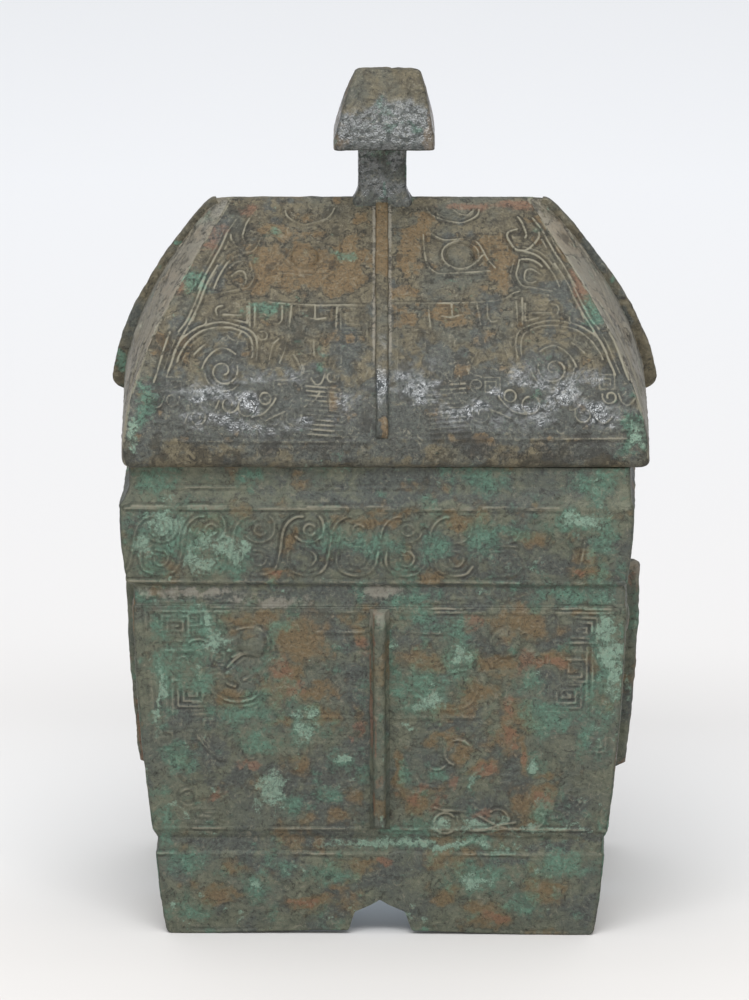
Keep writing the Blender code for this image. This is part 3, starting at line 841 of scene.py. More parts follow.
def lid_horn(pen):
    pen.curve((44.1, 20), (41.5, 21), (40.7, 23.6), (42.8, 28.5), (45, 29.5), (47.6, 28.8), (50.7, 24.3),
              (51, 21.5))
    pen.curve((44.3, 13.4), (45.6, 16.5), (46.3, 19.6), (46.9, 22.5), (46.5, 24))
    pen.curve((49, 14), (50.4, 17.2), (52, 20.2), (53, 22.8))
    pen.line((51.8, 24.8), (53.1, 28.3), strength=0.8)
    pen.curve((45, 29.6), (48.3, 30.7), (50.9, 32.5), (53.4, 36.2), (55.6, 40.6), (57, 44.5), echo=-1.7)
    pen.curve((45.1, 33.4), (47.5, 33.3), (49.7, 34.3), (51.5, 36.3))


def lid_ear(pen):
    pen.curve((44.5, 33.6), (43.9, 36.6), (43.3, 40.2), (45, 44), (47.6, 44.7), (51, 45.6), (54.7, 46.3),
              echo=1.8)
    pen.curve((49.4, 42.3), (47.9, 43), (46, 42), (46.3, 38.4), (48.2, 37.4), (50.8, 39.4))
    pen.line((45.8, 51.2), (45.7, 58), (50, 56.7))
    pen.line((47.6, 55), (54, 54.8))
    pen.curve((54.2, 51.3), (55.8, 51.8), (56.5, 53.3), (56, 55))


def lid_middle(pen):
    pen.curve((4, 51), (10, 51), (20, 51.1), (30, 50.7), (37, 50), (40, 48.9), (42, 47.4), (44, 46.4),
              strength=0.9)
    pen.line((18.9, 56.1), (22.1, 56.6), (25.6, 55.6))
    pen.line((22.3, 50.9), (22.4, 56.5))
    pen.line((14.8, 52.1), (15.1, 57), (15.3, 60))
    pen.line((30.4, 51.5), (31.4, 59.5))
    pen.curve((33.7, 51.5), (33.7, 55.2), (34.1, 57.3), (35.2, 58.2), (36.7, 57.8))
    pen.line((43, 50.4), (43.2, 59))
    pen.line((44.9, 49), (44.8, 59))
    for v in (56.0, 65.0, 73.0):
        pen.maze(9.8, v, 7.6, gap=1.7, strength=0.62)
    pen.line((4.6, 51.5), (4.6, 76), strength=0.7)


def lid_jaw(pen):
    """The great volute at the corner of the jaw."""
    pen.curve((42.9, 71.5), (42.4, 67), (43, 63), (45.2, 60.5), (50.9, 58.2), (54.6, 57.6), (58, 58),
              (59.9, 58.9), echo=1.6)
    pen.curve((44.3, 70.4), (44, 68.3), (45, 63), (50, 60), (54.5, 59.6), (60.8, 60.7), (65.9, 64.6),
              (69.1, 69.6), (70, 72), echo=1.7)
    pen.curve((59.8, 56.2), (60.2, 58.5), (63.2, 59.9), (68.6, 64.2), (71.4, 70))
    pen.curve((50, 69.2), (51.8, 67.8), (54.4, 67), (57, 68), (59.1, 70), (60.5, 72), (61.5, 74.4))
    pen.line((60.4, 66), (62.2, 67.4), (64.2, 69.6))
    pen.arc(54.3, 75.2, 5.2, 200, -250, end_radius=1.2)
    pen.curve((48.9, 64.7), (51.1, 64), (52.7, 62.4), strength=0.8)
    pen.line((47.8, 61), (49, 63.4), strength=0.8)
    pen.curve((47, 72), (47.5, 77), (50.5, 81), (55.5, 81.6), (59.5, 79), (60.8, 75), strength=0.7)


def lid_hips(pen):
    """Long lines beside the hip."""
    pen.curve((52, 20.2), (54.5, 27.4), (57.9, 34.8), (61, 41.6), (62.3, 44.5), echo=-1.5)
    pen.curve((55.7, 35.2), (59.5, 43), (62.8, 52.3), (64.5, 57))
    pen.curve((60, 39.7), (63.1, 49), (66.4, 57), (69.3, 61))
    pen.curve((61.2, 48.3), (65, 57), (69.4, 65.4), (72.4, 73.6), (73.8, 77.2), echo=-1.6)
    pen.curve((72.3, 61.3), (73.9, 65.5), (76.8, 75.3), (78.1, 79))


def lid_cheek(pen):
    pen.line((31.4, 62), (32.3, 65), (33.3, 68.7), (35, 72.6))
    pen.line((34.9, 63.7), (37.1, 65.7), (37.8, 68.6), (38.7, 73))
    pen.arc(40.5, 62.6, 1.6, 0, 300)
    pen.curve((30.1, 69.3), (29, 71.1), (28.1, 73.4), (27.2, 76.9))
    pen.line((28.2, 61.9), (23, 64.5), (23, 69.8))
    pen.curve((31.2, 78), (27, 76), (27.2, 72.8))


def lid_chin(pen):
    """The lowest part of the lid: hatching, small scrolls and a border line."""
    pen.rows(14, 26, 81, 97, 1.5, tilt=-0.8, strength=0.8)
    pen.rows(10, 14.5, 80, 90, 1.5, tilt=3.0, strength=0.8)
    pen.arc(40.1, 84.2, 1.9, 0, 360)
    pen.arc(46.5, 87, 3.0, -60, 260, end_radius=2.6)
    pen.curve((45, 90), (40.9, 89), (37.8, 86.2), (36.5, 84.2))
    pen.curve((40, 91.2), (36.5, 89.6), (33.2, 88.3))
    pen.curve((27, 86.9), (23.2, 84.8), (21.5, 82.5), strength=0.8)
    pen.curve((48, 83), (53, 88.5), (60, 89.5), (66, 86), (68.5, 81), strength=0.45)
    pen.curve((58, 84), (62, 86), (65.5, 83.5), (64.5, 80.5), strength=0.45)
    pen.arc(60.5, 87.5, 1.6, 0, 360, strength=0.5)
    pen.line((5, 97.6), (40, 97.6), (77, 97.4), strength=0.7)


def lid_clouds(pen):
    """Rolling scrolls along the lower curve, each handing on to the next."""
    for x, v, size in ((31, 90, 3.2), (52.5, 86, 3.4), (63.5, 90, 3.0), (72, 84.5, 2.6), (17, 77, 2.4)):
        pen.arc(x, v, size, 200, -200, 0.9, strength=0.8)
        pen.curve((x + size, v - 1.0), (x + 1.5 * size, v + 2.0), (x + 2.3 * size, v + 2.6),
                  (x + 3.0 * size, v + 0.6), strength=0.7)
    for x in (5.4, 7.2, 9.0, 10.8):
        pen.line((x, 78), (x, 94), strength=0.5)


def lid_face(field, stretch=1.0, faint=1.0):
    """Both halves of the mask on a long slope; the left half lies a little narrower."""
    right = Pen(field, 1, stretch, strength=faint)
    left = Pen(field, -1, 0.93 * stretch, shift=-0.6, lift=0.8, strength=0.9 * faint)
    for pen in (right, left):
        lid_brow_and_eye(pen)
        lid_horn(pen)
        lid_ear(pen)
        lid_middle(pen)
        lid_jaw(pen)
        lid_hips(pen)
        pen.strength = 0.7 * faint
        lid_cheek(pen)
        pen.strength = faint
        lid_chin(pen)
        lid_clouds(pen)
        pen.filler(5, 78, 80, 95, strength=0.6)
        pen.filler(17, 42, 62, 80, strength=0.5)
        pen.filler(36, 60, 6, 50, 5.0, strength=0.5)


def lid_end(field):
    """The short slopes: a narrow mask with its eyes low down."""
    for hand in (1, -1):
        pen = Pen(field, hand, strength=0.8)
        pen.curve((4, 22), (8, 30), (11.5, 40), (20, 49), (29, 54))
        pen.curve((4, 30), (7, 38), (10, 47), (17, 54), (25, 57.5))
        pen.arc(20, 66, 6.2, 0, 360)
        pen.curve((9, 60), (13, 57.5), (20, 57.4), (27, 59), (33, 66), (35.5, 71))
        pen.curve((10, 73), (18, 75.2), (26, 74.6), (34, 73.4))
        pen.arc(44, 78, 7.0, 150, -260, end_radius=1.4)
        pen.curve((32, 48), (38, 58), (45, 68), (52, 78), (57, 88))
        pen.maze(7.0, 82, 6.8, gap=1.7)
        pen.rows(13, 30, 80, 92, 2.2, tilt=-0.8, strength=0.7)
        pen.line((4, 97.6), (60, 97.4), strength=0.8)


# ---- Ornament of the vessel ---------------------------------------------------------------------
def band_unit(pen):
    """One pair of volutes, joined to its neighbour by a long S stroke."""
    pen.curve((1.0, 142.7), (-1.2, 142.5), (-3.5, 140.9), (-4.9, 138.7), (-5.6, 136), (-6.0, 132.4),
              (-6.6, 129.3), (-7.4, 126), (-9.2, 123.7), (-12.4, 123.1))
    pen.curve((-1.2, 136), (0.6, 134.6), (3.4, 134.1), (6, 135.2), (7.6, 137.6), (7.4, 141.1), (6.3, 142.7))
    pen.arc(3.2, 138.3, 1.9, 30, 330)
    pen.curve((-3.6, 131.0), (-3.9, 128), (-3.0, 124.9), (-0.4, 123.3), (2.6, 122.8), (6.0, 123.5),
              (8.2, 126.1))
    pen.curve((1.0, 131.4), (4.0, 130.9), (5.2, 128.6), (3.6, 126.2), (1.2, 126.6), (0.7, 128.4))


def band(field, half, strengths):
    """The narrow frieze under the neck; strengths tell how clearly each unit still shows."""
    pitch = 15.7
    first = -0.5 * pitch * (len(strengths) - 1) - 1.0
    for i, strength in enumerate(strengths):
        band_unit(Pen(field, shift=first + i * pitch, strength=strength))
    for z in (120.6, 145.2):
        Pen(field).line((-half, z), (half, z), strength=0.8)


def main_mask(pen):
    """Half of the large mask: eye, brow, jaw and the thunder patterns round them."""
    pen.curve((35.4, 97.5), (35.8, 101.5), (38, 104.4), (41.4, 105.2), (45.5, 104.4))
    pen.curve((34.2, 98.6), (33.4, 95.6), (35.6, 93.4), (38.6, 95.6), (43, 96.8), (47, 95.2))
    pen.curve((48.8, 91.6), (45.5, 95.1), (42.6, 96.4), (39, 96.1), (36.4, 94), (36.1, 92.3), echo=1.7)
    pen.line((43.5, 87.5), (40, 89.2), (38.5, 90.2), strength=0.8)
    pen.curve((46.2, 85.2), (48.8, 86.2), (50.7, 89.3), (53.3, 89), (56.2, 85.2))
    pen.curve((58.4, 92), (57.2, 89.3), (54.9, 85.2), (51.3, 81.8), (46.8, 80.1), (41, 81), (37, 84.5),
              echo=1.7)
    for i in range(3):
        pen.curve((47.4 - 1.8 * i, 54.4), (45.5 - 1.8 * i, 50), (45.8 - 1.8 * i, 45), (48 - 1.8 * i, 41),
                  strength=0.7)
    pen.line((51, 81.1), (53.7, 83.4), (56.5, 86))
    pen.line((56, 82.3), (58.2, 85.1), (59.6, 87.2))
    pen.curve((55.5, 100.3), (57.3, 101.1), (59.8, 100.8), (61, 100))
    pen.line((60, 97.3), (70, 97.3), strength=0.8)
    pen.arc(62.9, 93.5, 1.8, 0, 360)
    for i in range(4):
        pen.curve((54.6 + 1.3 * i, 68.6), (52.7 + 1.3 * i, 65.6), (50.5 + 1.1 * i, 62.7),
                  (48.6 + 0.9 * i, 60.3))
    pen.curve((49.7, 65.6), (49.1, 63.9), (46.1, 61.1), (43.6, 60.5), (40.3, 60.9))
    pen.arc(45.4, 64.0, 2.0, 0, 360)
    pen.arc(45.4, 64.0, 4.2, 30, 330)
    pen.arc(61.6, 47.3, 3.0, -120, 200, end_radius=2.7)
    pen.curve((66.5, 53), (69, 51.5), (72, 51.2))


def main_thunder(pen, strength):
    """Squared meanders down the outer border."""
    pen.maze(65.4, 104.6, 8.4, gap=1.7, strength=strength)
    pen.maze(62.6, 91.0, 7.4, gap=1.6, strength=strength)
    pen.maze(60.6, 82.4, 7.8, gap=1.7, strength=strength)
    pen.rows(53, 60, 76, 80.5, 1.3, tilt=-0.4, strength=0.8 * strength)
    for x in (66.3, 68.2):
        pen.line((x, 99), (x, 76), strength=0.8 * strength)
    pen.maze(69.5, 66.5, 6.0, gap=1.6, strength=0.8 * strength)
    for x in np.arange(70.4, 76.0, 1.3):
        pen.line((x, 106 - 2 * (x - 70)), (x - 1.5, 72), strength=0.5 * strength)
    for x in (62.2, 63.8):
        pen.line((x, 74), (x, 60), strength=0.5 * strength)


def main_nose(pen, strength):
    """The coils beside the flange."""
    pen.arc(25.2, 63.0, 4.4, -30, 250, strength=strength)
    pen.arc(18.2, 60.5, 3.4, 60, 320, strength=0.7 * strength)
    pen.maze(13.5, 86.0, 8.0, gap=1.8, strength=0.4 * strength)
    pen.curve((8, 108), (14, 107.6), (20, 104.5), (23, 99), (21, 94), (15, 92.6), (9, 94),
              strength=0.55 * strength)
    pen.curve((22, 90), (28, 91), (31.5, 86.5), (29.5, 80), (23, 77.5), (16, 78), strength=0.55 * strength)
    pen.rows(10, 17, 105, 109, 1.4, strength=0.5 * strength)
    pen.line((3, 103.8), (20, 103.4), strength=0.7)
    pen.line((4, 74.6), (32, 75.2), strength=0.6)
    pen.curve((10, 56), (14, 52), (20, 51), (27, 53), (34, 58), (41, 60), strength=0.5 * strength)


def main_scroll(pen, strength):
    """The dragon lying along the bottom border."""
    pen.arc(21.0, 38.6, 3.6, 40, 320, strength=strength)
    pen.curve((17.5, 44), (20.5, 43.2), (26, 42.8), (31.5, 41.4), (35.6, 39.0), (40, 37.0), (45.5, 36.6),
              strength=strength)
    pen.curve((24.8, 41), (25.6, 38), (27.6, 36.4), (33, 36.2), (38.6, 38.2), (43.5, 39),
              strength=strength)
    pen.curve((35.6, 42.6), (38, 43.6), (40.4, 42.4), (41.6, 39.8), strength=0.8 * strength)
    pen.curve((46, 41), (50.5, 42.5), (53, 40.5), (51, 37.5), (47, 38), strength=0.6 * strength)


def main_frame(pen, half_low, half_high):
    """Border lines round the large panel."""
    edge = 3.6
    pen.line((4.4, 36.6), (half_low - edge, 36.6), strength=0.9)
    pen.line((5, 110.4), (half_high - edge, 110.4), strength=0.8)
    pen.line((half_low - edge, 37), (half_high - edge, 110), strength=0.6)
    pen.line((half_low - edge - 1.7, 39), (half_high - edge - 1.7, 107), strength=0.5)


def vessel_front(field):
    """The front as it has lasted: each part fainter on one side or the other."""
    for hand, thunder, coil, scroll in ((1, 1.0, 1.0, 1.0), (-1, 0.75, 0.35, 0.3)):
        pen = Pen(field, hand, strength=0.6 if hand > 0 else 1.0)
        main_mask(pen)
        pen.strength = 1.0
        main_thunder(pen, thunder)
        main_nose(pen, coil)
        main_scroll(pen, scroll)
        main_frame(pen, 73.0, 78.6)
        pen.filler(46, 72, 40, 108, 5.0, strength=0.6)
        pen.filler(6, 46, 40, 108, 5.4, strength=0.42)
    field.domes(*MAIN_EYE)
    field.domes(25.0, 60.2, 4.2, 0.7, hands=(-1,))
    field.domes(21.0, 38.6, 2.6, 0.5, hands=(1,))
    band(field, 80.0, (0.6, 0.7, 0.6, 1.0, 1.0, 1.0, 0.9, 0.5, 0.4, 0.5))
    strip_scratches(field)
    # painted highlights along the edges of the registers
    edge_highlights_and_wear(field)
    pen = Pen(field, shift=-0.9)
    pen.curve((25.3, 135.9), (27, 134.1), (30, 133.4), (36, 132.6), (42.3, 133.2), (45.7, 132.8),
              strength=0.8)
    pen.curve((67.4, 134.5), (67, 131.8), (65.7, 126), (64.5, 123.7), (62.1, 121.5))


def strip_scratches(field):
    """Pale scratches along the plain strips above and below the large panel."""
    pen = Pen(field)
    for i in range(26):
        x = -76.0 + 47.0 * math.sin(2.4 * i) ** 2 + (70.0 if i % 5 == 0 else 0.0)
        z = 113.0 + 5.4 * ((i * 0.618) % 1.0)
        pen.line((x, z), (x + 9.0 + 5.0 * math.cos(i), z + 0.5 * math.sin(3.0 * i)), strength=0.5)


def edge_highlights_and_wear(field):
    """Painted highlights, with pale wear, along the edges of the registers, more in some places than others.
    """
    pen = Pen(field)
    for z, share in ((0.6, 0.5), (27.8, 0.7), (36.2, 0.6), (111.8, 0.9), (119.8, 0.6), (146.0, 0.9),
                     (151.6, 0.6)):
        for x in np.arange(-78.0, 74.0, 8.0):
            strength = share * (0.75 + 0.45 * math.sin(0.9 * x + z))
            pen.line((x, z), (x + 8.0, z + 0.3 * math.sin(x)), strength=max(strength, 0.0))


def vessel_side(field, half, units, faint):
    """A wall that the photo does not show, in the same manner but plainer."""
    stretch = half / 79.0
    for hand in (1, -1):
        pen = Pen(field, hand, stretch, strength=faint)
        main_mask(pen)
        main_thunder(pen, 0.9)
        main_nose(pen, 0.8)
        main_scroll(pen, 0.8)
        main_frame(Pen(field, hand), half - 6.0, half - 0.4)
    band(field, half, [faint] * units)


# ---- Where each patina lies on the front --------------------------------------------------------
# Each spot is (across, run, half width, half height) in millimetres on the wall.
LID_SPOTS = {
    # slate patina; the wide spots at run 95 to 101 are painted shade that darkens the near-upright rim
    "slate_and_shade": [
        (-34, 84, 30, 9), (34, 85, 32, 10), (66, 88, 9, 10), (0, 95, 78, 7), (-66, 84, 8, 10),
        (20, 72, 10, 6), (-50, 96, 26, 6), (46, 96, 28, 6), (-20, 100, 20, 6), (66, 100, 10, 5),
        (-74, 100, 5, 4), (4, 101, 12, 4), (-50, 72, 8, 9), (52, 74, 8, 6), (8, 84, 12, 7),
        (-12, 68, 6, 8),
    ],
    "gloss": [
        (-36, 88, 18, 7), (-30, 90, 9, 3), (28, 84, 22, 7), (24, 82, 9, 3), (67, 88, 5, 8),
        (-57, 86, 8, 6), (12, 88, 7, 6), (50, 86, 10, 6), (-14, 84, 6, 5),
    ],
    "rust": [
        (-24, 37, 17, 9), (-14, 42, 9, 5), (-36, 38, 6, 8), (39.5, 36, 4, 10), (22, 55, 8, 3.5),
        (10, 28, 4, 8), (14, 17, 4, 6), (-9, 31, 4, 9), (34, 29, 4, 4), (-30, 22, 7, 4),
        (30, 98.5, 3, 2), (6, 46, 5, 4), (43, 101.5, 22, 1.6), (-30, 101.5, 14, 1.2), (60, 26, 4, 8),
    ],
    "red": [
        (47, 6, 8, 4), (-44, 11, 4, 4), (63, 44, 3, 9), (-63, 40, 3, 9), (29, 6, 9, 3), (-52, 26, 3, 7),
    ],
    "teal": [
        (68, 53, 3, 5), (79, 95, 5, 7), (-60, 44, 3, 6), (-38, 53, 6, 2.5), (70, 44, 2, 5),
        (-77, 88, 4, 6),
    ],
    "pale": [
        (80, 97, 3, 4), (-79, 96, 2, 4),
    ],
}
MAIN_SPOTS = {
    "slate_and_shade": [
        (-14, 103, 8, 6), (-12, 98, 5, 4), (-6, 89, 6, 7), (-8, 80, 7, 6), (-36, 106, 3.4, 1.8),
        (17, 104, 8, 6), (9, 99, 6, 6), (30, 103, 3, 3), (-17, 57, 10, 7), (-16, 46, 14, 9),
        (-7, 62, 5, 10), (23, 73, 9, 4), (43, 57, 4, 9), (61, 44, 7, 6), (62, 104, 9, 5),
        (56, 100, 6, 3.4), (54, 87, 4, 3), (60, 83, 6, 4), (20, 61, 4, 5), (32, 46, 8, 5),
        (-26, 109, 5, 3), (-56, 62, 6, 8), (-62, 78, 5, 5), (68, 35.5, 7, 2), (-14, 37, 7, 3),
        (36, 99, 4, 4), (-50, 91, 4, 3), (-46, 52, 6, 5), (47, 52, 4, 7), (-30, 53, 7, 6),
    ],
    "rust": [
        (-27, 100, 8, 9), (-37, 109, 6, 2.6), (-30, 87, 5, 9), (-20, 83, 7, 3), (-5.6, 105, 1.8, 6),
        (14, 94, 9, 3), (-31, 72.5, 3.6, 1.6), (18.5, 69, 6, 1.8), (25, 64, 4, 4), (11, 48, 6, 4),
        (40, 68, 5, 5), (32, 57, 5, 2), (47, 62, 2, 6), (48, 46, 6, 5), (46, 75, 6, 4), (22, 78, 7, 3),
        (67, 96, 1.8, 3), (55, 93, 6, 3), (47, 107, 9, 5), (-12, 41, 4, 3), (-25, 60, 4, 4),
        (36, 93, 8, 4), (54, 56, 3, 1.6), (-47, 82, 5, 3), (6.5, 58, 2, 6), (68.5, 91, 1.2, 4),
        (-19, 74, 6, 3), (52, 50, 6, 3), (-44, 107, 5, 3), (30, 82, 6, 4),
    ],
    "red": [
        (-33, 91, 3, 5), (-5, 99, 2.6, 4), (41, 68, 3.6, 4), (22, 53.5, 2.2, 3.4), (12.4, 52, 1.8, 3),
        (34.5, 43.5, 3, 2), (47, 92, 5, 6), (-8, 70, 1.8, 2.6), (54, 92, 5, 2.4), (33, 56.5, 4, 1.4),
        (47, 61, 1.6, 3), (18, 45, 3, 3), (-26, 84, 4, 3), (30, 108, 3, 2.4), (-44, 57, 4, 2),
        (-52, 46, 3, 2), (42, 78, 2, 3), (9, 49, 4, 3), (53, 47, 3, 4),
    ],
    "teal": [
        (-56, 103, 6, 7), (-62, 96, 6, 8), (-60, 109, 12, 3), (-69, 90, 3, 12), (-37, 79, 7, 6),
        (-26, 71, 4, 6), (-25, 75, 4, 3), (12, 109, 6, 3), (26, 104, 4, 5), (27, 94, 5, 7),
        (15, 87, 7, 6), (14, 80, 5, 4), (5, 86, 4, 3), (48, 85, 5, 5), (67.5, 84, 2, 4), (57, 74, 9, 4),
        (65, 68, 2, 6), (52, 60, 3, 4), (9, 57, 2, 4), (17, 56, 3, 3), (13, 39, 5, 4), (6, 35.5, 7, 2),
        (31.5, 53.5, 2, 2.4), (-68, 40, 3, 4), (-12, 61, 3, 3), (-16, 50, 4, 3), (-27, 45, 4, 3),
        (73, 92, 4, 20), (70, 101, 2, 6), (-46, 76, 8, 4), (-57, 86, 4, 4), (-71, 106, 3, 5),
        (55, 77, 6, 3), (4, 92, 1.4, 10), (-39, 66, 5, 4), (-64, 60, 4, 5), (53, 41, 3, 5),
    ],
    "pale": [
        (-55, 105.5, 1.6, 4), (-26, 70, 2, 4.5), (-25, 75, 3, 1.8), (-12, 62, 2, 1.6),
        (74, 93, 2.4, 14), (14, 80, 3, 2), (21, 38.5, 2.6, 2.6), (31.5, 54, 1.4, 1.4), (72, 106, 2, 4),
        (28, 96, 2, 3), (34, 39, 7, 1.4), (51, 60, 2, 2.4), (-34, 50, 4, 5), (9, 73.5, 2.4, 1.4),
        (-53, 100, 4, 2), (-70, 82, 1.6, 8), (45, 36.6, 18, 1), (17, 83, 3, 3),
    ],
}
BAND_SPOTS = {
    "dust": [
        (-60, 116, 16, 1.6), (0, 117, 7, 1.8), (-34, 114, 10, 1.4),
    ],
    "teal": [
        (-62, 137, 17, 8), (-14, 135, 7, 4), (-1, 133, 8, 5), (18, 132, 4, 4), (34, 137, 5, 6),
        (62, 141, 8, 3.4), (-70, 126, 6, 4), (72, 136, 4, 8), (-46, 126, 6, 4), (46, 139, 5, 3),
        (-76, 114, 5, 2), (60, 116, 10, 2), (-72, 153, 7, 5), (33, 155, 7, 4), (68, 153, 6, 4),
        (-40, 155, 5, 3), (10, 114, 8, 2),
    ],
    "pale": [
        (-66, 140, 8, 3.4), (-50, 134, 8, 3), (-57, 127, 5, 2), (-74, 133, 3, 4), (65, 142, 4, 1.8),
        (-44, 131, 2, 4),
    ],
    "slate_and_shade": [
        (-10, 130, 16, 6), (20, 131, 10, 6), (40, 132, 12, 7), (0, 115.8, 74, 3.4), (54, 126, 8, 4),
        (-34, 127, 6, 4), (10, 154, 40, 3), (-50, 115, 10, 3), (30, 124, 12, 3), (4, 149, 50, 2),
    ],
    "rust": [
        (-55, 139, 6, 4), (69, 130, 4, 3.4), (68, 123, 6, 2.4), (-31, 122, 5, 1.8), (18, 121.5, 3, 2.6),
        (2, 143, 9, 2), (26, 141, 6, 3), (-28, 134, 3, 3), (50, 136, 5, 3), (66, 111.6, 5, 1),
    ],
    "red": [
        (69, 130, 2, 2.4), (66, 123, 4, 1.6), (-30, 122, 3, 1.2), (-56, 138, 2, 2),
    ],
}
FOOT_SPOTS = {
    "teal": [
        (32, 20, 10, 5), (-40, 17, 4, 5), (-62, 24, 6, 4), (60, 24, 8, 4), (8, 31, 16, 2),
        (-16, 22, 6, 3), (48, 10, 5, 4), (-60, 8, 5, 4), (32, 31, 10, 2),
    ],
    "pale": [
        (14, 31.2, 30, 1.5), (30, 19, 5, 2.4), (-40, 18, 2, 2),
    ],
    "rust": [
        (-22, 9, 6, 3), (34, 6, 8, 4), (-52, 13, 7, 3), (54, 16, 6, 4), (20, 14, 5, 3), (-8, 24, 8, 2),
    ],
    "red": [
        (-24, 9, 4, 2), (38, 5, 4, 2), (2, 24, 4, 1.6),
    ],
    "slate_and_shade": [
        (-36, 25, 14, 3), (0, 20, 12, 4), (56, 31, 10, 2), (-50, 31, 18, 2), (40, 26, 10, 2),
        (-12, 14, 6, 4), (66, 8, 4, 6),
    ],
}


def front_patina(field, teal, *spot_lists):
    """The patches that the photo shows, and a little more of each by chance."""
    for spots in spot_lists:
        for name, places in spots.items():
            field.patches(name, places)
    field.stray("teal", 7.0, teal, 0.75)
    field.stray("slate_and_shade", 11.0, 0.14, 0.8, shift=100)
    field.stray("rust", 8.0, 0.07, 0.7, shift=200)
    field.stray("pale", 4.5, 0.3 * teal, 0.7, shift=300)


def chance_patina(field, teal):
    """Patina for the sides that the photo does not show."""
    field.stray("slate_and_shade", 26.0, 0.34, 0.9, shift=100)
    field.stray("rust", 14.0, 0.16, 0.8, shift=200)
    field.stray("red", 10.0, 0.05, 0.8, shift=250)
    field.stray("teal", 18.0, teal, 0.9)
    field.stray("pale", 9.0, 0.3 * teal, 0.8, shift=300)


# ---- The walls of the two castings --------------------------------------------------------------
def wall_grid(half_length, rows_from, rows_to, cell):
    """Even grids of s and of the way up (or down) a wall."""
    columns = int(2 * half_length / cell) + 1
    rows = int(abs(rows_to - rows_from) / cell) + 1
    return np.meshgrid(np.linspace(-1.0, 1.0, columns), np.linspace(rows_from, rows_to, rows))


def body_skin(name, side, low, high, cell, finish, adorn):
    half = BAND_HALF[1] if side in LONG_SIDES else BAND_HALF[1] - NARROWER
    s, z = wall_grid(half, low, high, cell)
    if low == 0.0:
        ground = notch_height(body_wall(side, s, z)[2])
        arch = NOTCH_APEX + 2.4
        z = np.where(z < arch, ground + z * (arch - ground) / arch, z)
    place, _, along = body_wall(side, s, z)
    field = Field(place, along, z, BODY_SEED, max(LINE, 1.3 * cell))
    adorn(field)
    heights = field.heights(*BODY_RELIEF)
    return slab(name, body_wall, side, s, z, heights, finish, field.layers(), settle)


def lid_skin(name, side, cell, finish, adorn):
    half = RIM_HALF if side in LONG_SIDES else RIM_HALF - NARROWER
    s, q = wall_grid(half, ROOF[side]["q"][-1], 0.0, cell)
    place, _, along = roof_wall(side, s, q)
    field = Field(place, along, ornament_run(side, q), LID_SEED, max(LINE, 1.3 * cell))
    adorn(field)
    heights = field.heights(*LID_RELIEF)
    layers = lid_wear(field, s, q)
    if side in LONG_SIDES:
        layers["dust"] = np.maximum(layers["dust"], dust_beside_flange(field))
    return slab(name, roof_wall, side, s, q, heights, finish, layers, set_askew)


def lid_chips(place):
    return 1.0 + 5.0 * cloud(place, 5.0, LID_SEED + 71)


def lid_wear(field, s, q):
    """The layers of a slope: its hips lighter along their edges, its lower curve slate with painted shade
    towards the rim, its gloss broken up.
    """
    layers = field.layers()
    chips = lid_chips(field.place)
    # the hips are made lighter along their edges
    hips = 0.8 * smoothstep(0.985, 0.998, np.abs(s)) * np.clip(chips, 0.0, 1.0)
    layers["line"] = np.maximum(layers["line"], hips)
    # slate over the lower curve, which towards the rim is painted shade
    uneven_run = field.run + 40.0 * cloud(field.place, 9.0, LID_SEED + 76)
    curve = smoothstep(74.0, 84.0, uneven_run) * smoothstep(101.0, 95.0, field.run)
    layers["slate_and_shade"] = np.maximum(layers["slate_and_shade"], 0.9 * curve)
    wide = field.place * np.array([0.6, 1.0, 1.0])
    layers["gloss"] = layers["gloss"] * smoothstep(-0.05, 0.05, cloud(wide, 7.0, LID_SEED + 75))
    # painted shade at the rim: the dark marks thicken there and the rust thins
    rim = smoothstep(96.0, 100.0, field.run)
    jagged = cloud(field.place, 6.0, LID_SEED + 73, octaves=6, fade=0.72)
    layers["ditch"] = np.maximum(layers["ditch"], 0.9 * smoothstep(0.08, 0.13, jagged + 0.06 * rim))
    lower_edge = smoothstep(-1.8, -0.8, q - q.max()) * np.clip(chips, 0.3, 1.0)
    layers["rust"] = np.maximum(layers["rust"] * (1.0 - 0.6 * rim), lower_edge)
    return layers


def dust_beside_flange(field):
    """Dust caught in the corners along the flange of a long slope."""
    from_corner = np.abs(field.place[..., 0] - LID_FRONT_FLANGE) - 0.5 * FLANGE - 0.4
    high_up = 1.0 - smoothstep(66.0, 84.0, field.run)
    return np.exp(-(from_corner / 0.8) ** 2) * high_up * np.clip(lid_chips(field.place), 0.4, 1.0)


def adorn_front(field):
    vessel_front(field)
    front_patina(field, 0.07, MAIN_SPOTS, BAND_SPOTS, FOOT_SPOTS)


def adorn_back(field):
    vessel_side(field, 79.0, 10, 0.7)
    chance_patina(field, 0.2)
    field.domes(*MAIN_EYE)


def adorn_end(field):
    vessel_side(field, 63.0, 7, 0.7)
    chance_patina(field, 0.16)
    field.domes(*END_EYE)


def adorn_lid_front(field):
    lid_face(field)
    field.domes(25.5, 31.5, 4.6, 1.5, hands=(1,))
    field.domes(24.5, 32.5, 4.6, 1.5, hands=(-1,))
    front_patina(field, 0.012, LID_SPOTS)


def adorn_lid_back(field):
    lid_face(field, faint=0.7)
    field.domes(25.0, 32.0, 4.6, 1.5)
    chance_patina(field, 0.08)
    field.stray("gloss", 20.0, 0.2, 0.7, shift=400)


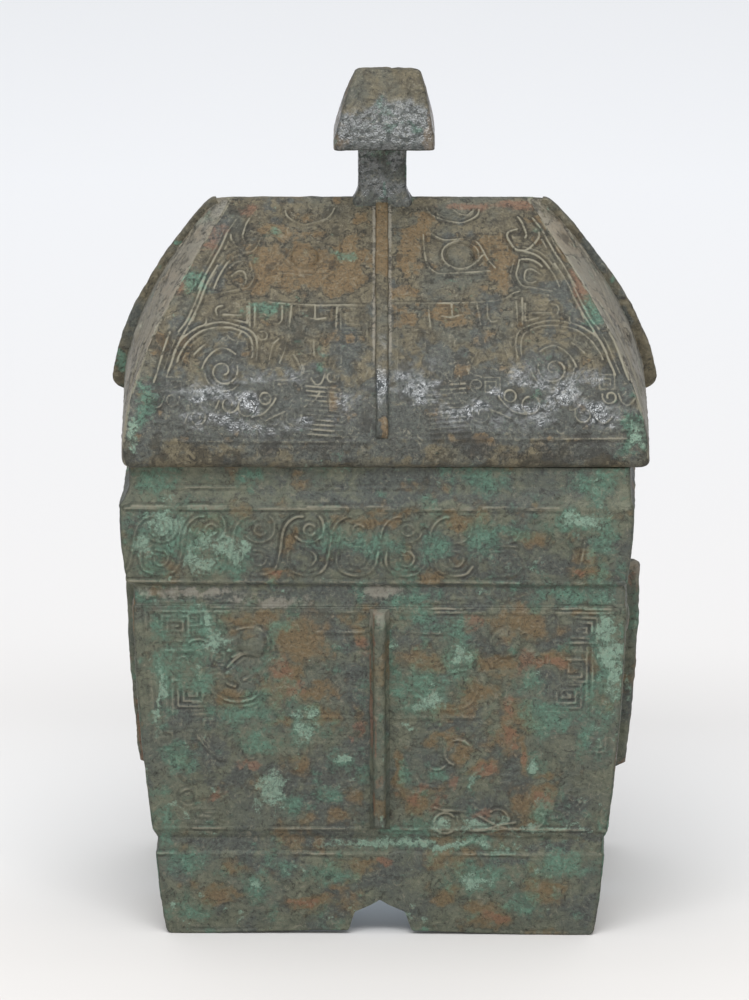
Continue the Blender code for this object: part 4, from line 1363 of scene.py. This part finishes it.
def adorn_lid_end(field):
    lid_end(field)
    streaks = cloud(field.place * np.array([1.0, 1.0, 0.4]), 3.0, LID_SEED + 72)
    # the front part of each end slope is made paler, in streaks
    field.masks["dust"] = smoothstep(40.0, -34.0, field.place[..., 1] + 40.0 * streaks)
    field.masks["pale"] = 0.6 * smoothstep(0.1, 0.24, streaks)
    field.domes(20.0, 66.0, 4.4, 1.2)
    chance_patina(field, 0.05)


def away_from_middle(side):
    """Unit vectors out of a side and along it."""
    turn = math.radians(TURNS[side])
    out = np.array([math.cos(turn), math.sin(turn), 0.0])
    return out, np.array([-out[1], out[0], 0.0])


def rounded_end(share):
    """Share of the full stand-off near an end, for the share of the end's length."""
    return np.sqrt(np.clip(1.0 - (1.0 - share) ** 2, 0.02, 1.0))


def upright_spine(side, out):
    """Spine and stand-off of a flange on the vessel's main register."""
    foot, top = MAIN_FLANGE
    reach = NARROWER
    if side not in LONG_SIDES:
        foot = SIDE_FLANGE_FOOT - RAGGED_END
        reach = 0.0
    z = np.arange(foot, top, 0.7)
    spine = np.array([BODY_SHIFT, 0.0, 0.0]) + out * (half_width_at(z) - reach)[:, None]
    spine[:, 2] = z
    s = (z - MAIN_FLANGE[0]) / (top - MAIN_FLANGE[0])
    stand = mix(*FLANGE_OUT, s) * rounded_end(np.clip((top - z) / 1.6, 0.0, 1.0))
    return spine, stand * np.clip((z - foot) / 2.0, 0.05, 1.0)


def worn_rib(rings):
    """A flange with soft dents and a grain of corrosion; returns the moved rings."""
    middle = rings.mean(1, keepdims=True)
    lumps = 0.9 * cloud(rings, 7.0, 301) + 0.5 * cloud(rings, 1.8, 302)
    return rings + unit(rings - middle) * lumps[..., None]


def body_flanges(finish):
    for side in TURNS:
        out, across = away_from_middle(side)
        spine, stand = upright_spine(side, out)
        outs = np.repeat(out[None], len(spine), 0)
        rib("main_flange_" + side, spine, outs, across, stand, finish, flange_patina, 0.85, FLANGE_FILLET)


def lid_flanges(finish):
    up = np.array([0.0, 0.0, 1.0])
    t = np.linspace(*LID_FLANGE_SPAN, 150)
    s = (t - t[0]) / (t[-1] - t[0])
    near_end = np.clip(np.minimum(s / 0.045, (1.0 - s) / 0.06), 0.0, 1.0)
    half_x, half_y, z = roof(t)
    for side in TURNS:
        out, across = away_from_middle(side)
        q = np.interp(-z, -ROOF[side]["z"], ROOF[side]["q"])
        slope_out, slope_up = roof_path(side, q)[-2:]
        if side in LONG_SIDES:
            away, aside = half_y, LID_FRONT_FLANGE
            grow, paint = LID_FRONT_OUT, lid_flange_patina
        else:
            away, aside = half_x + end_swell(t), roof_lean(t)
            grow, paint = LID_FLANGE_OUT, side_flange_patina
        spine = out * away[:, None] + up * z[:, None]
        spine[:, 0] += aside
        outs = out * slope_out[:, None] + up * slope_up[:, None]
        stand = mix(*grow, s ** 1.3) * rounded_end(near_end)
        rib("lid_flange_" + side, spine, outs, across, stand, finish, paint, 0.45)


def flange_patina(rings):
    """Streaks and patches down a flange of the vessel, reddish on its left side."""
    up = rings[..., 2]
    streaky = rings * np.array([3.0, 3.0, 0.35])
    noise = cloud(rings, 9.0, 311, octaves=5, fade=0.62)
    left = smoothstep(0.2, 1.4, rings.mean(1, keepdims=True)[..., 0] - rings[..., 0])
    streaks = cloud(streaky, 6.0, 312)
    red_patches = 0.7 * smoothstep(0.1, 0.2, cloud(rings, 6.0, 315))
    return {
        "teal": 0.7 * smoothstep(0.04, 0.2, noise) * smoothstep(50.0, 90.0, up + 60.0 * noise),
        "rust": 0.6 * smoothstep(0.03, 0.16, -noise),
        "red": np.maximum(red_patches, 0.9 * left * smoothstep(0.0, 0.1, streaks)),
        "pale": 0.7 * smoothstep(0.14, 0.24, streaks) * (1.0 - left),
        "slate_and_shade": 0.8 * smoothstep(0.0, 0.15, cloud(rings, 12.0, 313)),
        "dust": 0.9 * smoothstep(103.0, 109.0, up + 20.0 * cloud(streaky, 4.0, 314)),
    }


def lid_flange_patina(rings):
    """Orange-brown at the top of a lid flange, olive and slate lower down."""
    down = np.linspace(0.0, 1.0, len(rings))[:, None] + 0.4 * cloud(rings, 12.0, 321)
    rust_patches = smoothstep(0.04, 0.16, cloud(rings, 9.0, 322))
    return {
        "rust": np.maximum(1.0 - smoothstep(0.2, 0.4, down), rust_patches),
        "slate_and_shade": smoothstep(0.6, 0.8, down),
        "red": 0.9 * smoothstep(0.1, 0.22, cloud(rings, 8.0, 323)),
        "gloss": smoothstep(0.6, 0.7, down) * (1.0 - smoothstep(0.8, 0.9, down)),
    }


def side_flange_patina(rings):
    """Dark olive with a little slate and green."""
    return {
        "slate_and_shade": smoothstep(-0.08, 0.12, cloud(rings, 12.0, 325)),
        "teal": 0.8 * smoothstep(0.14, 0.24, cloud(rings, 6.0, 326)),
    }


def knob(finish):
    columns = [spaced(half, CORNER, 0.5) for half in KNOB_HALF]
    rings = np.array([rectangle(hx, hy, mid, z, 1.4, columns) for z, hx, hy, mid in knob_levels()])
    rings, layers = adorn_knob(rings)
    ring_solid("lid_knob", set_askew(rings), finish, layers)


def post(finish):
    columns = [spaced(half, 1.6, 0.6) for half in POST_HALF]
    rings = np.array([rectangle(hx, hy, mid, z, 1.6, columns) for z, hx, hy, mid in post_levels()])
    grain = 0.35 * cloud(rings, 3.0, 331)
    up = smoothstep(238.0, 252.0, rings[..., 2] + 20.0 * cloud(rings, 6.0, 335))
    layers = {
        "slate_and_shade": 0.8 + 0.2 * cloud(rings, 9.0, 332),
        "teal": np.maximum(smoothstep(0.1, 0.2, cloud(rings, 6.0, 333)), 0.55 * up),
        "pale": 0.7 * smoothstep(0.0, 0.16, cloud(rings, 3.0, 334)) * up,
        "gloss": 0.7 * smoothstep(-0.1, 0.1, cloud(rings, 5.0, 336)),
    }
    rings = set_askew(rings + grid_normals(rings) * grain[..., None])
    ring_solid("lid_post", rings, finish, layers)


def adorn_knob(rings):
    """Faint scrolls on the knob's long slopes, dents all over, slate below and olive above."""
    outward = grid_normals(rings)
    x, _, z = np.moveaxis(rings, -1, 0)
    raised = np.zeros(x.shape)
    sunk = np.zeros(x.shape)
    for facing in (-1.0, 1.0):
        field = Field(rings, x, z, LID_SEED, 0.8)
        for hand in (1, -1):
            pen = Pen(field, hand, strength=0.4)
            pen.arc(7.0, 262.0, 3.4, -60, 300, end_radius=1.2)
            pen.curve((2.2, 268), (6, 270), (9.6, 267), (12.4, 260), (13.4, 254))
            pen.curve((1.6, 256), (5, 254.4), (10, 255.4), (12, 258))
        face = smoothstep(0.5, 0.8, facing * outward[..., 1])
        raised = np.maximum(raised, field.line * face)
        sunk = np.maximum(sunk, field.ditch * (1.0 - field.line) * face)
    low = 1.0 - smoothstep(260.0, 267.0, z + 14.0 * cloud(rings, 6.0, 341))
    ends = smoothstep(11.0, 15.0, np.abs(x - KNOB_SHIFT[0]) + 14.0 * cloud(rings, 5.0, 345))
    layers = {
        "line": raised,
        "ditch": sunk,
        "slate_and_shade": low,
        "gloss": 0.5 * low,
        "rust": 0.7 * ends,
        "teal": 0.6 * smoothstep(0.05, 0.2, cloud(rings, 6.0, 346)) * low,
    }
    past_notch = x - KNOB_NOTCH_X
    notch = 0.6 * np.exp(-(past_notch / 0.8) ** 2) + 0.4 * smoothstep(0.0, 4.4, past_notch)
    rings = rings.copy()
    rings[..., 2] -= notch * smoothstep(KNOB_TOP - 5.0, KNOB_TOP, z)
    lumps = 0.5 * cloud(rings, 6.0, 343) + 0.3 * cloud(rings, 1.6, 344)
    return rings + outward * (0.3 * raised - 0.2 * sunk + lumps)[..., None], layers


# ---- Finishes -----------------------------------------------------------------------------------
def shade(red, green, blue):
    """A colour as seen, each part from 0 to 255, in the shader's own terms."""
    return tuple(((c / 255 + 0.055) / 1.055) ** 2.4 for c in (red, green, blue)) + (1.0,)


class Web:
    """The nodes of one material; sizes of patterns are in millimetres."""

    def __init__(self, name):
        self.material = bpy.data.materials.new(name)
        self.material.use_nodes = True
        self.nodes = self.material.node_tree.nodes
        self.links = self.material.node_tree.links
        self.shader = self.nodes["Principled BSDF"]
        self.where = self.nodes.new("ShaderNodeTexCoord").outputs["Object"]

    def feed(self, socket, value):
        if isinstance(value, bpy.types.NodeSocket):
            self.links.new(value, socket)
        else:
            socket.default_value = value

    def layer(self, name):
        node = self.nodes.new("ShaderNodeAttribute")
        node.attribute_name = name
        return node.outputs["Fac"]

    def noise(self, size, detail=4.0, rough=0.6, twist=0.0):
        node = self.nodes.new("ShaderNodeTexNoise")
        self.feed(node.inputs["Vector"], self.where)
        node.inputs["Scale"].default_value = 1.0 / (size * MM)
        node.inputs["Detail"].default_value = detail
        node.inputs["Roughness"].default_value = rough
        node.inputs["Distortion"].default_value = twist
        return node.outputs["Fac"]

    def specks(self, size):
        """Distance from scattered points, 0 at each point."""
        node = self.nodes.new("ShaderNodeTexVoronoi")
        self.feed(node.inputs["Vector"], self.where)
        node.inputs["Scale"].default_value = 1.0 / (size * MM)
        return node.outputs["Distance"]

    def math(self, kind, a, b):
        node = self.nodes.new("ShaderNodeMath")
        node.operation = kind
        self.feed(node.inputs[0], a)
        self.feed(node.inputs[1], b)
        return node.outputs[0]

    def total(self, *parts):
        """Sum of (value, weight) pairs, plain values and plain numbers."""
        values = [self.math("MULTIPLY", *part) if isinstance(part, tuple) else part for part in parts]
        result = values[0]
        for value in values[1:]:
            result = self.math("ADD", result, value)
        return result

    def ramp(self, value, low, high, start=0.0, stop=1.0):
        node = self.nodes.new("ShaderNodeMapRange")
        node.interpolation_type = "SMOOTHSTEP"
        self.feed(node.inputs["Value"], value)
        for socket, number in (("From Min", low), ("From Max", high), ("To Min", start), ("To Max", stop)):
            node.inputs[socket].default_value = number
        return node.outputs["Result"]

    def blend(self, share, a, b):
        """Colour b over colour a."""
        node = self.nodes.new("ShaderNodeMix")
        node.data_type = "RGBA"
        self.feed(node.inputs["Factor"], share)
        self.feed(node.inputs[6], a)
        self.feed(node.inputs[7], b)
        return node.outputs[2]

    def level(self, share, a, b):
        """Number b over number a."""
        node = self.nodes.new("ShaderNodeMix")
        self.feed(node.inputs["Factor"], share)
        self.feed(node.inputs[2], a)
        self.feed(node.inputs[3], b)
        return node.outputs[0]

    def cover(self, colour, share, strength, tone):
        """A tone laid over a colour, as strongly as its share times a strength."""
        return self.blend(self.math("MULTIPLY", share, strength), colour, tone)

    def mottle(self, noise, low, high, a, b):
        """Tone a where the noise is low, b where it is high."""
        return self.blend(self.ramp(noise, low, high), a, b)


OLIVE = shade(110, 102, 82)
UMBER = shade(72, 67, 55)
MOSS = shade(107, 109, 92)
LODEN = shade(76, 80, 69)
KHAKI = shade(136, 131, 114)
DUST = shade(146, 140, 127)
SLATE = shade(80, 85, 80)
COAL = shade(54, 57, 56)
NIGHT = shade(48, 54, 58)
RUST = shade(117, 94, 64)
AMBER = shade(98, 82, 57)
BRICK = shade(124, 90, 72)
TEAL = shade(90, 124, 106)
DEEP_TEAL = shade(66, 90, 78)
PALE = shade(120, 143, 126)
MIST = shade(150, 172, 156)
# dark of pits, veins and rims of rust, and the painted shade in the hollows beside the raised lines
SOOT_AND_SHADE = shade(42, 40, 35)


class Bronze(Web):
    """Corroded bronze: an oxide ground, then slate (on the lid's rim also painted shade), rust, red, teal
    and pale green over it.

    bite is how strongly fine grain and pits mark the colour, shine how bright the raised lines are
    and soft how softly the patches end.
    """

    def __init__(self, name, ground, dark, bite, shine, soft):
        super().__init__(name)
        self.bite = bite
        self.shine = shine
        self.soft = soft
        self.middle = self.noise(4.2, 6.0, 0.68, 0.6)
        self.fine = self.noise(1.1, 5.0, 0.68)
        self.grit = self.noise(0.42, 3.0, 0.6)
        self.gloss = self.layer("gloss")
        specks = self.ramp(self.specks(1.5), 0.1, 0.24, 1.0, 0.0)
        self.few = self.math("MULTIPLY", specks, self.ramp(self.middle, 0.5, 0.62))
        colour = self.mottle(self.middle, 0.3, 0.7, ground, dark)
        broad = self.noise(18.0, 5.0, 0.6, 0.4)
        colour = self.blend(self.ramp(broad, 0.44, 0.66, 0.0, 0.6), colour, SLATE)
        colour = self.ornament(self.grain(self.patches(colour)))
        self.feed(self.shader.inputs["Base Color"], colour)
        self.surface()
        self.relief()

    def spread(self, layer, noise, weight):
        """A patina's own layer broken up by noise: 0.5 lies on the edge of a patch."""
        return self.total(self.layer(layer), (noise, weight), (self.grit, 0.3), -0.5 * weight - 0.15)

    def patches(self, colour):
        """The large patches, each of two tones; keeps the shares that later steps need."""
        middle, fine, grit, soft = self.middle, self.fine, self.grit, self.soft
        self.rust_edge = self.spread("rust", middle, 1.1)
        self.slate_and_shade = self.ramp(self.spread("slate_and_shade", middle, 1.4), 0.3 - soft, 0.8 + soft)
        rust = self.ramp(self.rust_edge, 0.3 - soft, 0.7 + soft)
        red = self.ramp(self.spread("red", fine, 1.2), 0.4, 0.9)
        mixed = self.total((fine, 0.6), (middle, 0.4))
        self.teal = self.ramp(self.spread("teal", mixed, 2.2), 0.2 - soft, 0.95 + soft)
        pale = self.ramp(self.spread("pale", fine, 2.0), 0.35, 0.9)
        self.green = self.math("MAXIMUM", self.teal, pale)
        green_noise = self.total(middle, (fine, 0.7))
        # slate patina, and painted shade on the lid's lower curve and rim
        colour = self.cover(colour, self.slate_and_shade, 0.85, self.mottle(fine, 0.34, 0.66, COAL, SLATE))
        colour = self.cover(colour, rust, 0.75, self.mottle(fine, 0.36, 0.64, AMBER, RUST))
        colour = self.cover(colour, red, 0.6, BRICK)
        colour = self.cover(colour, self.teal, 0.8, self.mottle(green_noise, 0.68, 1.02, DEEP_TEAL, TEAL))
        return self.cover(colour, pale, 0.8, self.mottle(grit, 0.5, 0.75, PALE, MIST))

    def grain(self, colour):
        """Veins, sand and pits over all of it, then dust."""
        veins = self.noise(2.6, 7.0, 0.74, 1.4)
        sand = self.noise(0.8, 2.0, 0.5)
        bite = self.bite
        colour = self.blend(self.ramp(veins, 0.54, 0.66, 0.0, 0.3 + 0.5 * bite), colour, KHAKI)
        colour = self.blend(self.ramp(veins, 0.37, 0.46, 0.4 + 0.9 * bite, 0.0), colour, SOOT_AND_SHADE)
        colour = self.blend(self.ramp(sand, 0.58, 0.72, 0.0, 0.5 * bite), colour, KHAKI)
        colour = self.blend(self.ramp(sand, 0.3, 0.42, 0.8 * bite, 0.0), colour, SOOT_AND_SHADE)
        colour = self.blend(self.ramp(self.fine, 0.32, 0.44, 0.8 * bite, 0.0), colour, SOOT_AND_SHADE)
        dust = self.ramp(self.spread("dust", self.fine, 1.3), 0.3, 0.9)
        return self.cover(colour, dust, 0.35 + 0.6 * bite, DUST)

    def ornament(self, colour):
        """Hollows beside the raised lines darkened as painted shade, bright lines, dark rims of rust, black
        specks and the dark of bare metal.
        """
        # painted shade in the hollows beside the raised lines; on the lid this layer also holds dark jagged
        # corrosion
        colour = self.blend(self.ramp(self.layer("ditch"), 0.1, 0.9, 0.0, 0.55), colour, SOOT_AND_SHADE)
        # raised lines made lighter; along the register edges this layer also carries painted highlights
        line = self.ramp(self.total(self.layer("line"), (self.fine, 0.5), -0.25), 0.35, 0.8, 0.0, self.shine)
        colour = self.blend(line, colour, self.blend(self.teal, KHAKI, PALE))
        rising = self.ramp(self.rust_edge, 0.16, 0.3)
        edge = self.math("MULTIPLY", rising, self.ramp(self.rust_edge, 0.34, 0.5, 1.0, 0.0))
        edge = self.math("MULTIPLY", edge, self.ramp(self.fine, 0.42, 0.56))
        colour = self.cover(colour, edge, 1.6 * self.bite, SOOT_AND_SHADE)
        colour = self.cover(colour, self.few, 0.7, SOOT_AND_SHADE)
        return self.cover(colour, self.gloss, 0.7, NIGHT)

    def surface(self):
        """Dull crust, smoother slate, and bare metal that gleams in islands."""
        sockets = self.shader.inputs
        gleam = self.math("MULTIPLY", self.gloss, self.ramp(self.noise(1.8, 3.0, 0.6, 0.4), 0.4, 0.52))
        crust = self.ramp(self.fine, 0.3, 0.7, 0.46, 0.66)
        rough = self.level(self.slate_and_shade, crust, self.ramp(self.fine, 0.3, 0.7, 0.4, 0.58))
        rough = self.level(gleam, rough, self.ramp(self.grit, 0.3, 0.7, 0.1, 0.18))
        self.feed(sockets["Roughness"], self.level(self.green, rough, 0.82))
        self.feed(sockets["Specular IOR Level"], self.level(gleam, 0.4, 1.0))
        self.feed(sockets["Coat Weight"], self.math("MULTIPLY", gleam, 0.9))
        self.feed(sockets["Coat Roughness"], 0.07)
        self.feed(sockets["Coat IOR"], 1.8)
        metal = self.level(self.slate_and_shade, 0.3, 0.12)
        self.feed(sockets["Metallic"], self.level(self.green, metal, 0.0))

    def relief(self):
        """Fine bump: grain and pits on the crust, ripples on the bare metal."""
        ripples = self.total((self.noise(1.3, 1.0, 0.5, 0.6), 0.5), (self.noise(0.62, 0.0), 0.7))
        matt = self.level(self.gloss, 0.9, 0.05)
        crinkle = self.math("MULTIPLY", self.gloss, 2.3)
        height = self.total((self.fine, matt), (self.grit, matt), (self.middle, 0.8), (self.few, -0.6),
                            (self.green, 0.2), (ripples, crinkle))
        bump = self.nodes.new("ShaderNodeBump")
        bump.inputs["Strength"].default_value = 0.75
        bump.inputs["Distance"].default_value = 0.35 * MM
        self.feed(bump.inputs["Height"], height)
        self.feed(self.shader.inputs["Normal"], bump.outputs["Normal"])
        self.feed(self.shader.inputs["Coat Normal"], bump.outputs["Normal"])


# ---- Stage, light and camera --------------------------------------------------------------------
def floor_finish():
    """Pale paper with painted light: warmer and darker in front, cooler and lighter far behind, a little
    brighter round the vessel.
    """
    web = Web("paper")
    split = web.nodes.new("ShaderNodeSeparateXYZ")
    web.feed(split.inputs[0], web.where)
    # Painted light: the ramp paints the fall of light across the floor, darker in front and lighter far
    # behind.
    tone = web.nodes.new("ShaderNodeValToRGB")
    ramp = tone.color_ramp.elements
    ramp[0].color = (0.69, 0.665, 0.645, 1.0)
    ramp[1].color = (0.83, 0.83, 0.845, 1.0)
    ramp.new(0.45).color = (0.75, 0.735, 0.73, 1.0)
    web.feed(tone.inputs[0], split.outputs["Y"])
    # Painted light: a brighter pool round the vessel softens its shadow on the floor.
    painted_light_pool = web.nodes.new("ShaderNodeMapping")
    web.feed(painted_light_pool.inputs["Vector"], web.where)
    painted_light_pool.inputs["Location"].default_value = (0.0, -0.5, 0.0)
    painted_light_pool.inputs["Scale"].default_value = (3.6, 6.0, 1.0)
    away = web.nodes.new("ShaderNodeVectorMath")
    away.operation = "LENGTH"
    web.feed(away.inputs[0], painted_light_pool.outputs["Vector"])
    near = web.ramp(away.outputs["Value"], 1.1, 0.35)
    bright = web.blend(near, tone.outputs["Color"], (0.765, 0.752, 0.745, 1.0))
    web.feed(web.shader.inputs["Base Color"], bright)
    web.shader.inputs["Roughness"].default_value = 0.9
    web.shader.inputs["Specular IOR Level"].default_value = 0.1
    return web.material


def stage():
    """A wide pale floor: all that the camera sees behind the vessel."""
    reach = 16.0
    mesh = bpy.data.meshes.new("floor")
    corners = [(-reach, -reach, 0.0), (reach, -reach, 0.0), (reach, reach, 0.0), (-reach, reach, 0.0)]
    mesh.from_pydata(corners, [], [(0, 1, 2, 3)])
    mesh.materials.append(floor_finish())
    floor = bpy.data.objects.new("floor", mesh)
    bpy.context.scene.collection.objects.link(floor)


def softbox(name, place, aim, size, power, colour=(1.0, 1.0, 1.0)):
    light = bpy.data.lights.new(name, "AREA")
    light.shape = "RECTANGLE"
    light.size, light.size_y = size
    light.energy = power
    light.color = colour
    lamp = bpy.data.objects.new(name, light)
    bpy.context.scene.collection.objects.link(lamp)
    lamp.location = place
    lamp.rotation_euler = (Vector(aim) - Vector(place)).to_track_quat("-Z", "Y").to_euler()


def lights():
    world = bpy.data.worlds.new("studio")
    bpy.context.scene.world = world
    world.use_nodes = True
    background = world.node_tree.nodes["Background"]
    background.inputs["Color"].default_value = (0.96, 0.98, 1.0, 1.0)
    background.inputs["Strength"].default_value = 0.52
    softbox("key", (-0.1, -1.27, 1.53), (0.0, 0.0, 0.12), (1.9, 0.5), 27.0, (0.96, 0.98, 1.0))
    softbox("top", (0.0, -0.4, 2.3), (0.0, 0.0, 0.1), (2.0, 1.6), 20.0)
    softbox("far", (0.0, 1.5, 2.4), (0.0, 1.6, 0.0), (2.6, 1.2), 16.0, (0.95, 0.98, 1.0))
    softbox("fill", (0.0, -2.6, 0.5), (0.0, 0.0, 0.1), (2.4, 0.9), 9.0, (1.0, 0.99, 0.97))
    softbox("under", (0.0, 0.0, 0.030), (0.0, 0.0, 0.0), (0.10, 0.07), 0.012, (0.75, 0.87, 1.0))


CAMERA_FAR = 4.0
CAMERA_RISE = 14.8
CAMERA_ASIDE = 1.0
CAMERA_AIM = (-0.0036, 0.0, 0.1308)
CAMERA_LENS = 444.24


def camera():
    rise = math.radians(CAMERA_RISE)
    aside = math.radians(CAMERA_ASIDE)
    back = Vector((math.sin(aside) * math.cos(rise), -math.cos(aside) * math.cos(rise), math.sin(rise)))
    lens = bpy.data.cameras.new("camera")
    lens.lens = CAMERA_LENS
    lens.sensor_width = 36.0
    lens.sensor_fit = "AUTO"
    lens.clip_start = 0.1
    lens.clip_end = 50.0
    item = bpy.data.objects.new("camera", lens)
    bpy.context.scene.collection.objects.link(item)
    item.location = Vector(CAMERA_AIM) + back * CAMERA_FAR
    item.rotation_euler = (-back).to_track_quat("-Z", "Y").to_euler()
    bpy.context.scene.camera = item


def main():
    body = ("bronze_body", Bronze("bronze_body", MOSS, LODEN, 0.27, 0.65, 0.16).material)
    lid = ("bronze_lid", Bronze("bronze_lid", OLIVE, UMBER, 0.5, 0.9, 0.0).material)
    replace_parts(body_core(body), "vessel_body")
    body_skin("wall_front_low", "front", 0.0, SPLIT_Z, CELL["front"], body, adorn_front)
    body_skin("wall_front_high", "front", SPLIT_Z, LIP, CELL["neck"], body, adorn_front)
    body_skin("wall_back", "back", 0.0, LIP, CELL["back"], body, adorn_back)
    for side in ("left", "right"):
        body_skin("wall_" + side, side, 0.0, LIP, CELL["ends"], body, adorn_end)
    body_flanges(body)
    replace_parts(lid_core(lid), "lid")
    lid_skin("roof_front", "front", LID_CELL["front"], lid, adorn_lid_front)
    lid_skin("roof_back", "back", LID_CELL["back"], lid, adorn_lid_back)
    for side in ("left", "right"):
        lid_skin("roof_" + side, side, LID_CELL["ends"], lid, adorn_lid_end)
    lid_flanges(lid)
    knob(lid)
    post(lid)
    stage()
    lights()
    camera()
    bpy.context.scene.view_settings.view_transform = "Standard"


main()
